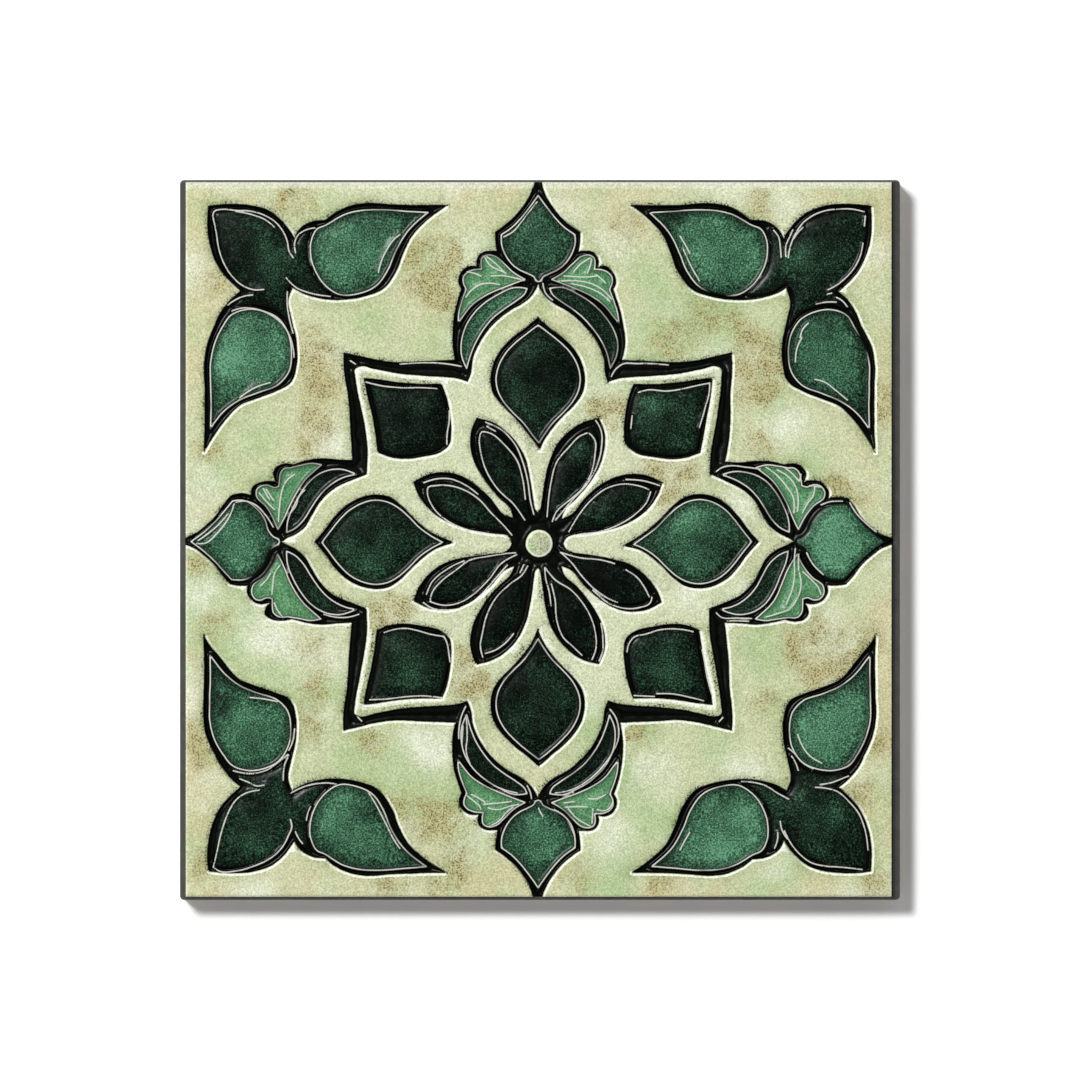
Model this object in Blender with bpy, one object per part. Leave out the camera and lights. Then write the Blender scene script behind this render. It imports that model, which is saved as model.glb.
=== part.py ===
"""Moulded relief wall tile: one pressed, glazed and fired piece, lying face up on its back.

Metres, +Z up, with the origin at the centre of the back face. The outlines are in millimetres. Each
one is drawn in the upper right quarter of the face, from the centre of the ornament, and mirrored
into the other three quarters. A list of points is one smooth stretch, and stretches meet in corners.
"""
import math

import bmesh
import bpy
import numpy as np

MM = 0.001

TILE_SIZE = 152.4
TILE_THICKNESS = 9.5
CORNER_RADIUS = 0.9
CORNER_STEPS = 2
BACK_CHAMFER = 0.6
RIM_DROP = 1.3
RIM_ROUNDING = 0.5

FIELD_WIDTH = 149.7
FIELD_HEIGHT = 151.0
FIELD_CENTRE = (-0.15, 0.1)
FIELD_ROUNDING = 0.4

ORNAMENT_CENTRE = (-0.4, -0.35)
SPRAY_CENTRE = (0.0, 0.2)
GROUND_DEPTH = 1.1
CELL_DROP = 0.3
CELL_FOOT = 1.0
CUTTER_RISE = 2.0
OUTSIDE = 78.0
TURN_PER_CHORD = math.radians(17.0)

BOSS_CENTRE = (0.0, -0.8)
BOSS_RADIUS = 3.05
BOSS_RISE = 0.5
BOSS_SIDES = 20
BOSS_RINGS = 3

PETAL_A = (
    [(0, 6.3), (0.5, 6.8), (0.9, 8.6), (1.5, 12.5), (2.7, 17.4), (5.2, 21.8), (9.2, 24.9), (12.9, 26.0)],
    [(14.1, 22.8), (13.7, 17.9), (11.3, 13.1), (8.3, 9.4), (5.6, 6.7), (5.0, 5.0)],
)
PETAL_B = (
    [(6.6, 5.6), (10.3, 9.6), (14.5, 12.9), (18.5, 14.4), (22.5, 14.3), (26.2, 12.6)],
    [(25.2, 9.9), (22.8, 6.7), (19.0, 4.2), (15.0, 3.0), (10.0, 2.2), (6.7, 1.7), (5.9, 1.1), (5.4, 0)],
)
PETAL_A_CELL = (
    [(2.0, 5.4), (2.5, 9.0), (3.2, 13.0), (4.1, 16.8), (6.2, 20.2), (8.7, 22.6), (11.2, 23.8)],
    [(12.3, 22.2), (12.1, 18.4), (11.0, 14.4), (8.9, 11.0), (6.1, 8.3), (3.6, 6.5), (2.0, 5.4)],
)
PETAL_B_CELL = (
    [(5.8, 2.3), (7.8, 4.8), (10.4, 8.0), (13.4, 10.8), (16.8, 12.3), (20.4, 12.5), (23.4, 11.7)],
    [(23.2, 9.8), (21.6, 7.8), (18.8, 5.4), (15.2, 3.9), (11.2, 3.1), (7.6, 2.7), (5.8, 2.3)],
)
DROP = (
    [(0, 18.6), (1.2, 21.3), (3.0, 23.9), (5.2, 26.4), (7.7, 28.9), (9.4, 31.4), (9.9, 34.2),
     (9.4, 37.3), (7.8, 40.4), (5.4, 42.9), (2.7, 44.9), (0, 47.2)],
)
DROP_CELL = (
    [(0, 20.5), (1.4, 22.8), (3.1, 25.1), (5.3, 27.3), (7.3, 29.6), (8.5, 31.9), (8.9, 34.3),
     (8.4, 37.0), (6.9, 39.8), (4.8, 42.0), (2.4, 43.9), (0, 45.7)],
)
KITE = (
    [(20.3, 33.2), (25, 33.2), (30, 33.6), (34, 34.2), (36.9, 34.5)],
    [(36.4, 31.2), (35.3, 25.9), (34.6, 22), (34.1, 18.8)],
    [(31.3, 17.8), (28.3, 17.5), (24.4, 18.0), (20.7, 18.9), (18.8, 20.4), (18.3, 23.4), (18.6, 27),
     (19.3, 30.5), (20.3, 33.2)],
)
KITE_CELL = (
    [(21.0, 32.3), (25, 32.4), (30, 32.8), (33.6, 33.4), (35.9, 33.6)],
    [(35.4, 31.0), (34.4, 26), (33.7, 22.2), (33.2, 19.5)],
    [(31.1, 18.6), (28.3, 18.4), (24.8, 18.9), (21.3, 19.8), (19.8, 21.1), (19.3, 23.5), (19.5, 26.9),
     (20.2, 30.2), (21.0, 32.3)],
)
STAR_INSIDE = (
    [(14.9, 33.8), (16.7, 34.4), (20, 34.8), (25, 35.1), (30, 35.6), (35, 36.6), (37.6, 37.1),
     (38.8, 36.5), (38.8, 34.4), (37.9, 28), (37.0, 23), (36.4, 19), (36.4, 14.3)],
)
STAR_OUTSIDE = (
    [(17.4, 38.3), (20, 38.2), (25, 38.0), (30, 37.8), (34, 38.3), (37.5, 39.1), (41.0, 39.9)],
    [(41.1, 37), (40.5, 31), (40.3, 25), (39.8, 20), (39.4, 17.1)],
)
ARM_INSIDE = (
    [(0, 54.2), (0.7, 52.8), (1.7, 51.4), (3.4, 50.1), (6.0, 48.7), (8.5, 46.8), (10.6, 44.6),
     (12.5, 41.7), (13.8, 38.5), (14.2, 35.6), (14.9, 33.8)],
)
ARM_OUTSIDE = (
    [(0.9, OUTSIDE), (0.9, 75.4), (1.7, 73.1), (3.2, 70.6), (5.1, 68.3), (7.1, 66.6), (9.0, 65.3)],
    [(8.9, 63.4), (8.6, 61.2)],
    [(9.8, 61.2), (11.0, 61.2), (12.3, 60.6), (12.9, 59.4), (12.8, 58.0)],
    [(14.3, 58.1), (15.7, 57.4), (16.5, 56.2), (16.7, 54.8), (16.1, 53.4)],
    [(16.9, 50.9), (17.6, 48), (17.9, 45), (17.9, 41.5), (17.4, 38.3)],
)
SEPAL_CELL = (
    [(15.1, 36.6), (14.3, 39.4), (13.4, 41.7), (11.8, 44.5), (9.7, 47.1), (7.2, 49.1), (4.6, 50.8),
     (2.9, 52.2), (2.4, 53.3)],
    [(5.2, 53.5), (8.2, 52.3), (11.2, 50.5), (13.7, 48.1), (15.4, 45.3), (16.2, 42.3), (16.2, 39.5),
     (15.1, 36.6)],
)
PALMETTE_CELL = (
    [(2.8, 55.2), (5.2, 56.6), (7.3, 58.6), (9.2, 60.2), (10.8, 60.5), (11.9, 59.9), (12.1, 58.8),
     (11.9, 57.5)],
    [(13.8, 57.4), (15.1, 56.8), (15.8, 55.9), (15.8, 54.7), (15.2, 53.4)],
    [(16.1, 50.9), (16.8, 48.2), (16.9, 46.2)],
    [(15.9, 47.6), (14.2, 49.8), (11.6, 51.7), (8.6, 53.1), (5.6, 54.2), (2.8, 55.2)],
)
FINIAL_CELL = (
    [(0, 73.2), (1.9, 70.5), (3.8, 68.1), (5.7, 66.2), (7.8, 64.8)],
    [(7.8, 62.8), (7.2, 60.9), (5.9, 58.8), (4.0, 57.2), (2.1, 56.3), (0.9, 55.6), (0.6, 54.9)],
    [(0, 54.7)],
)
SIDE_FINIAL_CELL = (
    [(73.4, 0), (70.8, 1.9), (68.4, 4.1), (66.4, 6.3), (64.8, 8.0)],
    [(61.8, 7.9), (59.6, 6.6), (58.0, 4.6), (57.0, 2.2), (56.0, 1.1), (54.9, 0.6)],
    [(54.7, 0)],
)
SIDE_SEPAL_CELL = (
    [(38.6, 14.3), (41.6, 13.5), (44.2, 11.9), (46.4, 9.6), (48.0, 7.2), (49.6, 4.7), (51.4, 2.9),
     (53.2, 2.0)],
    [(53.0, 4.6), (52.0, 7.4), (50.2, 10.6), (48.0, 13.2), (45.3, 14.9), (42.4, 15.4), (38.6, 14.3)],
)
SIDE_PALMETTE_CELL = (
    [(55.1, 2.6), (56.4, 5.2), (58.2, 7.6), (60.3, 9.4), (60.4, 10.8), (59.5, 11.9), (58.2, 12.1),
     (56.8, 11.6), (55.8, 11.9)],
    [(55.6, 13.2), (55.2, 14.7), (54.3, 15.6), (52.9, 15.7)],
    [(50.5, 16.2), (48.2, 16.6), (46.0, 16.3)],
    [(47.6, 14.9), (49.6, 13.0), (51.3, 10.6), (52.7, 8.0), (53.9, 5.0), (55.1, 2.6)],
)
SIDE_ARM_INSIDE = (
    [(36.4, 14.3), (38.4, 13.5), (39.9, 12.9), (43, 11.4), (46, 8.6), (48, 5.3), (49.3, 3.2),
     (51.5, 1.5), (53, 0.8), (54.2, 0)],
)
SIDE_ARM_OUTSIDE = (
    [(39.4, 17.1), (42, 17.2), (46, 17.5), (50, 16.9), (52, 16.3)],
    [(54.1, 16.5), (55.7, 16.0), (56.7, 14.8), (56.3, 12.7)],
    [(58.2, 12.9), (60.1, 12.3), (61.2, 11.0), (61.2, 9.2)],
    [(63, 9.3), (65.1, 9.0)],
    [(66.5, 7.5), (68.2, 5.2), (70.5, 3.0), (72.9, 1.3), (75.2, 0.6), (OUTSIDE, 0.6)],
)
SPRAY = (
    [(52.3, 53.2), (50.3, 52.1), (46.5, 51.0), (41.5, 50.8), (36.8, 51.6), (33.1, 53.1), (30.5, 56.5),
     (28.8, 60.7), (27.1, 64.2), (24.1, 67.3), (19.5, 70.6)],
    [(25, 70.6), (31, 70.8), (37, 71.1), (41, 70.2), (43.6, 68.8), (45.2, 67.5)],
    [(48.0, 67.2), (50.6, 65.7), (51.8, 63.7)],
    [(54.2, 67.0), (57.0, 69.2), (60.3, 70.3), (65.0, 70.7), (70.0, 70.3)],
    [(70.2, 66.5), (69.4, 61.2), (67.4, 56.7), (65.2, 54.2), (63.2, 52.4)],
    [(65.3, 50.5), (66.8, 48.2), (68.0, 45.4)],
    [(69.0, 43.6), (70.3, 41.0), (70.9, 37.6), (70.8, 32.0), (70.8, 24), (71.0, 18.4)],
    [(69.0, 22.0), (66.4, 25.8), (63.3, 29.0), (59.6, 30.6), (56.0, 31.9), (52.7, 33.7), (51.5, 37.4),
     (51.5, 42.0), (52.6, 47.1), (53.2, 50.4), (52.3, 53.2)],
)
LEAF_CELL = (
    [(23.6, 69.2), (28, 69.5), (34, 69.9), (38, 69.7), (41.2, 68.9), (43.9, 67.4)],
    [(45.2, 66.6), (47.0, 65.8), (48.3, 63.3), (48.4, 60.0), (47.3, 56.6), (45.1, 53.6), (42.2, 51.9),
     (38.2, 52.2), (34.6, 53.8), (32.2, 57.0), (30.6, 60.8), (28.2, 65.0), (23.6, 69.2)],
)
SIDE_LEAF_CELL = (
    [(69.7, 23.6), (69.6, 28.5), (69.7, 33.5), (69.6, 38.4), (68.8, 41.2), (67.3, 43.9)],
    [(66.5, 45.2), (65.0, 47.5), (62.0, 48.7), (58.6, 48.4), (55.4, 46.9), (53.2, 43.6), (52.6, 39.6),
     (53.2, 36.0), (55.4, 33.4), (59.6, 31.8), (63.4, 30.2), (66.6, 27.8), (69.7, 23.6)],
)
TIP_CELL = (
    [(68.9, 69.2), (64.6, 69.4), (60.0, 68.5), (56.2, 66.8), (53.9, 64.5), (52.4, 61.6)],
    [(51.6, 63.0), (50.3, 64.8), (48.9, 65.6)],
    [(49.2, 63.2), (49.2, 60.0), (48.2, 56.4), (46.3, 53.9), (44.6, 51.9)],
    [(47.4, 51.9), (49.8, 52.8), (52.2, 54.4)],
    [(53.5, 52.6), (53.9, 50.4), (53.4, 47.6), (52.9, 45.4)],
    [(55.0, 48.0), (58.4, 49.4), (62.0, 49.7), (64.4, 49.2)],
    [(63.4, 50.9), (62.0, 52.2)],
    [(64.8, 55.1), (67.4, 58.4), (68.5, 62.6), (68.9, 69.2)],
)

# The mould was cut by hand: near each place the drawing is pushed by the shift, over about the reach.
HAND_SHIFTS = (
    ((34, 60), (-1.1, -0.5), 14), ((62, 33), (-0.1, -1.0), 13),
    ((-36, 61), (-0.1, -0.4), 14), ((-60, 33), (0.1, -0.8), 12),
    ((-62, -34), (-0.2, -0.8), 13), ((-32, -60), (-1.0, -0.3), 12),
    ((60, -33), (0.3, -0.9), 13), ((40, -61), (-0.4, -0.3), 12),
    ((71, -19), (0.0, -1.8), 5), ((-71, -19), (0.0, -1.8), 5),
    ((68, -46), (0.5, -0.3), 4), ((-68, -45), (-0.5, 0.0), 4), ((-68, 46), (-0.7, 0.0), 4),
    ((0, 58), (0.1, 0.3), 12), ((16.5, 42), (0.6, 0.0), 5), ((0, -44), (0.2, -0.4), 5),
    ((40, 0), (-0.9, 0.0), 8), ((-37, 0), (0.0, -0.3), 11), ((44, 17), (0.0, -0.7), 5),
    ((65, 8), (0.5, 0.0), 5), ((52, -7), (-0.8, 0.0), 5), ((56, -15), (0.5, -0.4), 4),
    ((38, 24), (0.4, 0.0), 9), ((-40, 25), (0.7, 0.0), 9), ((-40, -25), (0.4, 0.0), 9),
    ((-58, 12), (1.1, -0.2), 6), ((-63.5, 9.5), (0.0, 0.9), 3.5),
    ((-57.4, -14.9), (-1.0, -0.5), 3.5), ((-13, -57), (0.4, 0.3), 7),
    ((0, 18.6), (0.4, 0.7), 2.5), ((18.6, 0), (-0.5, -0.5), 2.5), ((-18.6, 0), (0.7, 0.0), 2.5),
    ((20, 12), (0.0, -0.4), 7), ((20, -9), (-0.1, -0.5), 8), ((11, 0), (0.0, -0.6), 8),
    ((-11, 0), (0.0, -0.6), 8), ((0, -7), (0.0, 0.8), 3),
)


def smooth_stretch(points):
    """Chords of a smooth curve through the points, more of them where it turns."""
    points = np.array(points, float)
    steps = np.diff(points, axis=0)
    lengths = np.linalg.norm(steps, axis=1)
    directions = steps / lengths[:, None]
    tangents = np.empty_like(points)
    share = (lengths[:-1] / (lengths[:-1] + lengths[1:]))[:, None]
    tangents[1:-1] = directions[:-1] * (1 - share) + directions[1:] * share
    if len(points) > 2:
        tangents[0] = 1.5 * directions[0] - 0.5 * tangents[1]
        tangents[-1] = 1.5 * directions[-1] - 0.5 * tangents[-2]
    else:
        tangents[:] = directions[0]
    curve = [points[:1]]
    for start, end, leave, arrive, length in zip(points, points[1:], tangents, tangents[1:], lengths):
        cosine = np.dot(leave, arrive) / (np.linalg.norm(leave) * np.linalg.norm(arrive))
        chords = max(1, round(math.acos(np.clip(cosine, -1, 1)) / TURN_PER_CHORD))
        s = np.linspace(0, 1, chords + 1)[1:, None]
        blend = s * s * (3 - 2 * s)
        bow = (s * (1 - s) ** 2 * leave - s * s * (1 - s) * arrive) * length
        curve.append(start + (end - start) * blend + bow)
    return np.concatenate(curve)


def outline(stretches):
    """Smooth stretches joined end to end, with a corner at each joint."""
    curve = smooth_stretch(stretches[0])
    for stretch in stretches[1:]:
        curve = np.concatenate([curve, smooth_stretch([tuple(curve[-1])] + list(stretch))[1:]])
    return curve


def quarters(curve):
    """The outline of a quarter and its three mirror images, in turn around the centre."""
    across = curve * (-1, 1)
    return [curve, curve[::-1] * (1, -1), curve * (-1, -1), across[::-1]]


def ring(stretches):
    """One closed loop from a quarter that runs from the vertical axis to the horizontal one."""
    closed = np.concatenate([part[:-1] for part in quarters(outline(stretches))])
    return [closed]


def whole(stretches):
    """Closed loops of an outline that lies inside its quarter."""
    return [part[:-1] for part in quarters(outline(stretches))]


def halves(stretches, upright):
    """Two closed loops from half an outline whose two ends are on an axis."""
    half = outline(stretches)
    flip = (-1, 1) if upright else (1, -1)
    loop = np.concatenate([half, half[-2:0:-1] * flip])
    return [loop, -loop]


def drawn_by_hand(loops, centre):
    """The loops pushed by the hand shifts and placed about the centre."""
    placed = []
    for loop in loops:
        moved = np.array(loop)
        for place, shift, reach in HAND_SHIFTS:
            distance = np.linalg.norm(loop - place, axis=1)
            moved = moved + np.exp(-(distance / reach) ** 2)[:, None] * shift
        placed.append(moved + centre)
    return placed


def joined(*stretch_sets):
    """Several sets of stretches, each starting where the one before it ends, as one outline."""
    stretches = list(stretch_sets[0])
    for group in stretch_sets[1:]:
        stretches.append(group[0][1:])
        stretches.extend(group[1:])
    return stretches


def rounded_rectangle(width, height, radius, centre=(0, 0)):
    """Corners of a rectangle with round corners, counterclockwise."""
    turn = np.linspace(0, math.pi / 2, CORNER_STEPS + 1)
    points = []
    for quarter, (side_x, side_y) in enumerate(((1, 1), (-1, 1), (-1, -1), (1, -1))):
        angles = turn + quarter * math.pi / 2
        points.append(np.stack([
            centre[0] + side_x * (width / 2 - radius) + radius * np.cos(angles),
            centre[1] + side_y * (height / 2 - radius) + radius * np.sin(angles),
        ], axis=1))
    return np.concatenate(points)


def stacked_loops(name, levels):
    """A closed mesh over loops of equal length, each at its own height, from the bottom up."""
    mesh_data = bmesh.new()
    rings = []
    for loop, height in levels:
        rings.append([mesh_data.verts.new((x * MM, y * MM, height * MM)) for x, y in loop])
    count = len(rings[0])
    for lower, upper in zip(rings, rings[1:]):
        for i in range(count):
            j = (i + 1) % count
            mesh_data.faces.new((lower[i], lower[j], upper[j], upper[i]))
    mesh_data.faces.new(rings[0][::-1])
    mesh_data.faces.new(rings[-1])
    mesh = bpy.data.meshes.new(name)
    mesh_data.to_mesh(mesh)
    mesh_data.free()
    return bpy.data.objects.new(name, mesh)


def filled_outlines(name, loops, bottom, top):
    """Outlines filled between odd and even loops and extruded, as a closed mesh."""
    curve = bpy.data.curves.new(name, "CURVE")
    curve.dimensions = "2D"
    curve.fill_mode = "BOTH"
    curve.extrude = (top - bottom) / 2 * MM
    for loop in loops:
        spline = curve.splines.new("POLY")
        spline.points.add(len(loop) - 1)
        for point, (x, y) in zip(spline.points, loop * MM):
            point.co = (x, y, 0, 1)
        spline.use_cyclic_u = True
    guide = bpy.data.objects.new(name + "_outline", curve)
    bpy.context.scene.collection.objects.link(guide)
    depsgraph = bpy.context.evaluated_depsgraph_get()
    mesh = bpy.data.meshes.new_from_object(guide.evaluated_get(depsgraph))
    bpy.data.objects.remove(guide)
    mesh_data = bmesh.new()
    mesh_data.from_mesh(mesh)
    bmesh.ops.remove_doubles(mesh_data, verts=mesh_data.verts, dist=MM / 1000)
    bmesh.ops.recalc_face_normals(mesh_data, faces=mesh_data.faces)
    mesh_data.to_mesh(mesh)
    mesh_data.free()
    filled = bpy.data.objects.new(name, mesh)
    filled.location.z = (top + bottom) / 2 * MM
    return filled


def boss():
    """The round button in the middle of the rosette, a low dome on a short stem."""
    ground = TILE_THICKNESS - GROUND_DEPTH
    turn = np.arange(BOSS_SIDES) * 2 * math.pi / BOSS_SIDES
    circle = np.stack([np.cos(turn), np.sin(turn)], axis=1)
    dome_foot = TILE_THICKNESS - CELL_DROP - BOSS_RISE
    dome_height = TILE_THICKNESS + BOSS_RISE - dome_foot
    levels = [(circle * BOSS_RADIUS + BOSS_CENTRE, ground - CELL_FOOT)]
    for step in range(BOSS_RINGS + 1):
        angle = step / (BOSS_RINGS + 1) * math.pi / 2
        radius = BOSS_RADIUS * math.cos(angle)
        levels.append((circle * radius + BOSS_CENTRE, dome_foot + dome_height * math.sin(angle)))
    return stacked_loops("boss", levels)


def slab():
    """The tile before its relief: a square body, a low rim and the raised field."""
    rim = TILE_THICKNESS - RIM_DROP
    square = (TILE_SIZE, TILE_SIZE)
    field = (FIELD_WIDTH, FIELD_HEIGHT)

    def level(size, inset, height, centre=(0, 0)):
        loop = rounded_rectangle(size[0] - 2 * inset, size[1] - 2 * inset, CORNER_RADIUS, centre)
        return loop, height

    return stacked_loops("tile", [
        level(square, BACK_CHAMFER, 0),
        level(square, 0, BACK_CHAMFER),
        level(square, 0, rim - RIM_ROUNDING),
        level(square, RIM_ROUNDING / 2, rim),
        level(field, 0, rim, FIELD_CENTRE),
        level(field, 0, TILE_THICKNESS - FIELD_ROUNDING, FIELD_CENTRE),
        level(field, FIELD_ROUNDING, TILE_THICKNESS, FIELD_CENTRE),
    ])


def sunk_loops():
    """Edges of all that is sunk to the ground, and of the star of field that is left in its middle."""
    arms = joined(ARM_OUTSIDE, STAR_OUTSIDE, SIDE_ARM_OUTSIDE)
    quarter = outline(arms)
    band = [np.concatenate(quarters(quarter))]
    star = ring(joined([ARM_INSIDE[0]], STAR_INSIDE, SIDE_ARM_INSIDE))
    rosette = ring(PETAL_A + PETAL_B)
    side_drop = [[(v, u) for u, v in DROP[0]]]
    ornament = band + star + rosette + halves(DROP, True) + halves(side_drop, False) + whole(KITE)
    return drawn_by_hand(ornament, ORNAMENT_CENTRE) + drawn_by_hand(whole(SPRAY), SPRAY_CENTRE)


def cell_loops():
    """Edges of the glazed cells that stand on the ground."""
    side_drop = [[(v, u) for u, v in DROP_CELL[0]]]
    ornament = halves(DROP_CELL, True) + halves(side_drop, False)
    ornament += halves(FINIAL_CELL, True) + halves(SIDE_FINIAL_CELL, False)
    for cell in (PETAL_A_CELL, PETAL_B_CELL, KITE_CELL, SEPAL_CELL, SIDE_SEPAL_CELL, PALMETTE_CELL,
                 SIDE_PALMETTE_CELL):
        ornament += whole(cell)
    sprays = whole(LEAF_CELL) + whole(SIDE_LEAF_CELL) + whole(TIP_CELL)
    return drawn_by_hand(ornament, ORNAMENT_CENTRE) + drawn_by_hand(sprays, SPRAY_CENTRE)


def combine(target, tool, operation):
    """Boolean on the tile. The tool stays in the scene as a hidden guide."""
    bpy.context.scene.collection.objects.link(tool)
    tool.hide_render = True
    tool.display_type = "WIRE"
    modifier = target.modifiers.new(tool.name, "BOOLEAN")
    modifier.operation = operation
    modifier.object = tool


def glazed_ceramic():
    """Glossy pale green glaze of the field."""
    material = bpy.data.materials.new("glazed_ceramic")
    material.use_nodes = True
    shader = material.node_tree.nodes["Principled BSDF"]
    shader.inputs["Base Color"].default_value = (0.61, 0.65, 0.43, 1)
    shader.inputs["Roughness"].default_value = 0.25
    shader.inputs["Metallic"].default_value = 0.0
    return material


def main():
    """Build the tile: the slab, its sunk ground, the cells standing on it and the boss."""
    for old in list(bpy.data.objects):
        bpy.data.objects.remove(old)
    tile = slab()
    bpy.context.scene.collection.objects.link(tile)
    tile.data.materials.append(glazed_ceramic())
    ground = TILE_THICKNESS - GROUND_DEPTH
    sunk = filled_outlines("sunk_ground", sunk_loops(), ground, TILE_THICKNESS + CUTTER_RISE)
    cells = filled_outlines("cells", cell_loops(), ground - CELL_FOOT, TILE_THICKNESS - CELL_DROP)
    combine(tile, sunk, "DIFFERENCE")
    combine(tile, cells, "UNION")
    combine(tile, boss(), "UNION")


main()
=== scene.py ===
"""Dressed scene of a moulded relief wall tile, glazed pale green with dark green cells.

Metres, +Z up, with the tile on its back and its face up. The drawing of the relief is in millimetres.
Each outline is drawn in the upper right quarter, from the centre of the ornament, and mirrored into the
other three quarters. A list of points is one smooth stretch, and stretches meet in corners.
"""
import logging
import math
from dataclasses import dataclass, field
from enum import Enum

import bpy
import numpy as np
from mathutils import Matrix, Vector
from mathutils.geometry import delaunay_2d_cdt


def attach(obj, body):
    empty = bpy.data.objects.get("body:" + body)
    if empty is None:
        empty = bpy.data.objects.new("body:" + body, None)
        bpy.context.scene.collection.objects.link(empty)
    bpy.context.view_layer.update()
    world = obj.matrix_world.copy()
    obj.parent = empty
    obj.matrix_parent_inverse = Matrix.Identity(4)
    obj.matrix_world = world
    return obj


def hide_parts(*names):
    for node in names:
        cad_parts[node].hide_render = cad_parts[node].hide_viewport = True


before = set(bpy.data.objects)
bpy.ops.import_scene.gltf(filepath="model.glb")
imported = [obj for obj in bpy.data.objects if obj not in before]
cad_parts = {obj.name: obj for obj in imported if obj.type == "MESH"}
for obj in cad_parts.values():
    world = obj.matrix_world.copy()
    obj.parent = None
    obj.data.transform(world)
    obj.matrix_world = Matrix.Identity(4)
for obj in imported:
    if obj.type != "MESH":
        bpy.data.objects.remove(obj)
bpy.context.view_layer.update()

MM = 0.001
PER_METRE = 1000.0
LOG = logging.getLogger("relief_tile")

Point = tuple[float, float]
Stretches = tuple[list[Point], ...]

ORNAMENT_CENTRE: Point = (-0.4, -0.35)
SPRAY_CENTRE: Point = (0.0, 0.2)
OUTSIDE = 78.0

PETAL_A: Stretches = (
    [(0, 6.3), (0.5, 6.8), (0.9, 8.6), (1.5, 12.5), (2.7, 17.4), (5.2, 21.8), (9.2, 24.9), (12.9, 26.0)],
    [(14.1, 22.8), (13.7, 17.9), (11.3, 13.1), (8.3, 9.4), (5.6, 6.7), (5.0, 5.0)],
)
PETAL_B: Stretches = (
    [(6.6, 5.6), (10.3, 9.6), (14.5, 12.9), (18.5, 14.4), (22.5, 14.3), (26.2, 12.6)],
    [(25.2, 9.9), (22.8, 6.7), (19.0, 4.2), (15.0, 3.0), (10.0, 2.2), (6.7, 1.7), (5.9, 1.1), (5.4, 0)],
)
PETAL_A_CELL: Stretches = (
    [(2.0, 5.4), (2.5, 9.0), (3.2, 13.0), (4.1, 16.8), (6.2, 20.2), (8.7, 22.6), (11.2, 23.8)],
    [(12.3, 22.2), (12.1, 18.4), (11.0, 14.4), (8.9, 11.0), (6.1, 8.3), (3.6, 6.5), (2.0, 5.4)],
)
PETAL_B_CELL: Stretches = (
    [(5.8, 2.3), (7.8, 4.8), (10.4, 8.0), (13.4, 10.8), (16.8, 12.3), (20.4, 12.5), (23.4, 11.7)],
    [(23.2, 9.8), (21.6, 7.8), (18.8, 5.4), (15.2, 3.9), (11.2, 3.1), (7.6, 2.7), (5.8, 2.3)],
)
DROP: Stretches = (
    [(0, 18.6), (1.2, 21.3), (3.0, 23.9), (5.2, 26.4), (7.7, 28.9), (9.4, 31.4), (9.9, 34.2),
     (9.4, 37.3), (7.8, 40.4), (5.4, 42.9), (2.7, 44.9), (0, 47.2)],
)
DROP_CELL: Stretches = (
    [(0, 20.5), (1.4, 22.8), (3.1, 25.1), (5.3, 27.3), (7.3, 29.6), (8.5, 31.9), (8.9, 34.3),
     (8.4, 37.0), (6.9, 39.8), (4.8, 42.0), (2.4, 43.9), (0, 45.7)],
)
KITE: Stretches = (
    [(20.3, 33.2), (25, 33.2), (30, 33.6), (34, 34.2), (36.9, 34.5)],
    [(36.4, 31.2), (35.3, 25.9), (34.6, 22), (34.1, 18.8)],
    [(31.3, 17.8), (28.3, 17.5), (24.4, 18.0), (20.7, 18.9), (18.8, 20.4), (18.3, 23.4), (18.6, 27),
     (19.3, 30.5), (20.3, 33.2)],
)
KITE_CELL: Stretches = (
    [(21.0, 32.3), (25, 32.4), (30, 32.8), (33.6, 33.4), (35.9, 33.6)],
    [(35.4, 31.0), (34.4, 26), (33.7, 22.2), (33.2, 19.5)],
    [(31.1, 18.6), (28.3, 18.4), (24.8, 18.9), (21.3, 19.8), (19.8, 21.1), (19.3, 23.5), (19.5, 26.9),
     (20.2, 30.2), (21.0, 32.3)],
)
STAR_INSIDE: Stretches = (
    [(14.9, 33.8), (16.7, 34.4), (20, 34.8), (25, 35.1), (30, 35.6), (35, 36.6), (37.6, 37.1),
     (38.8, 36.5), (38.8, 34.4), (37.9, 28), (37.0, 23), (36.4, 19), (36.4, 14.3)],
)
STAR_OUTSIDE: Stretches = (
    [(17.4, 38.3), (20, 38.2), (25, 38.0), (30, 37.8), (34, 38.3), (37.5, 39.1), (41.0, 39.9)],
    [(41.1, 37), (40.5, 31), (40.3, 25), (39.8, 20), (39.4, 17.1)],
)
ARM_INSIDE: Stretches = (
    [(0, 54.2), (0.7, 52.8), (1.7, 51.4), (3.4, 50.1), (6.0, 48.7), (8.5, 46.8), (10.6, 44.6),
     (12.5, 41.7), (13.8, 38.5), (14.2, 35.6), (14.9, 33.8)],
)
ARM_OUTSIDE: Stretches = (
    [(0.9, OUTSIDE), (0.9, 75.4), (1.7, 73.1), (3.2, 70.6), (5.1, 68.3), (7.1, 66.6), (9.0, 65.3)],
    [(8.9, 63.4), (8.6, 61.2)],
    [(9.8, 61.2), (11.0, 61.2), (12.3, 60.6), (12.9, 59.4), (12.8, 58.0)],
    [(14.3, 58.1), (15.7, 57.4), (16.5, 56.2), (16.7, 54.8), (16.1, 53.4)],
    [(16.9, 50.9), (17.6, 48), (17.9, 45), (17.9, 41.5), (17.4, 38.3)],
)
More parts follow.
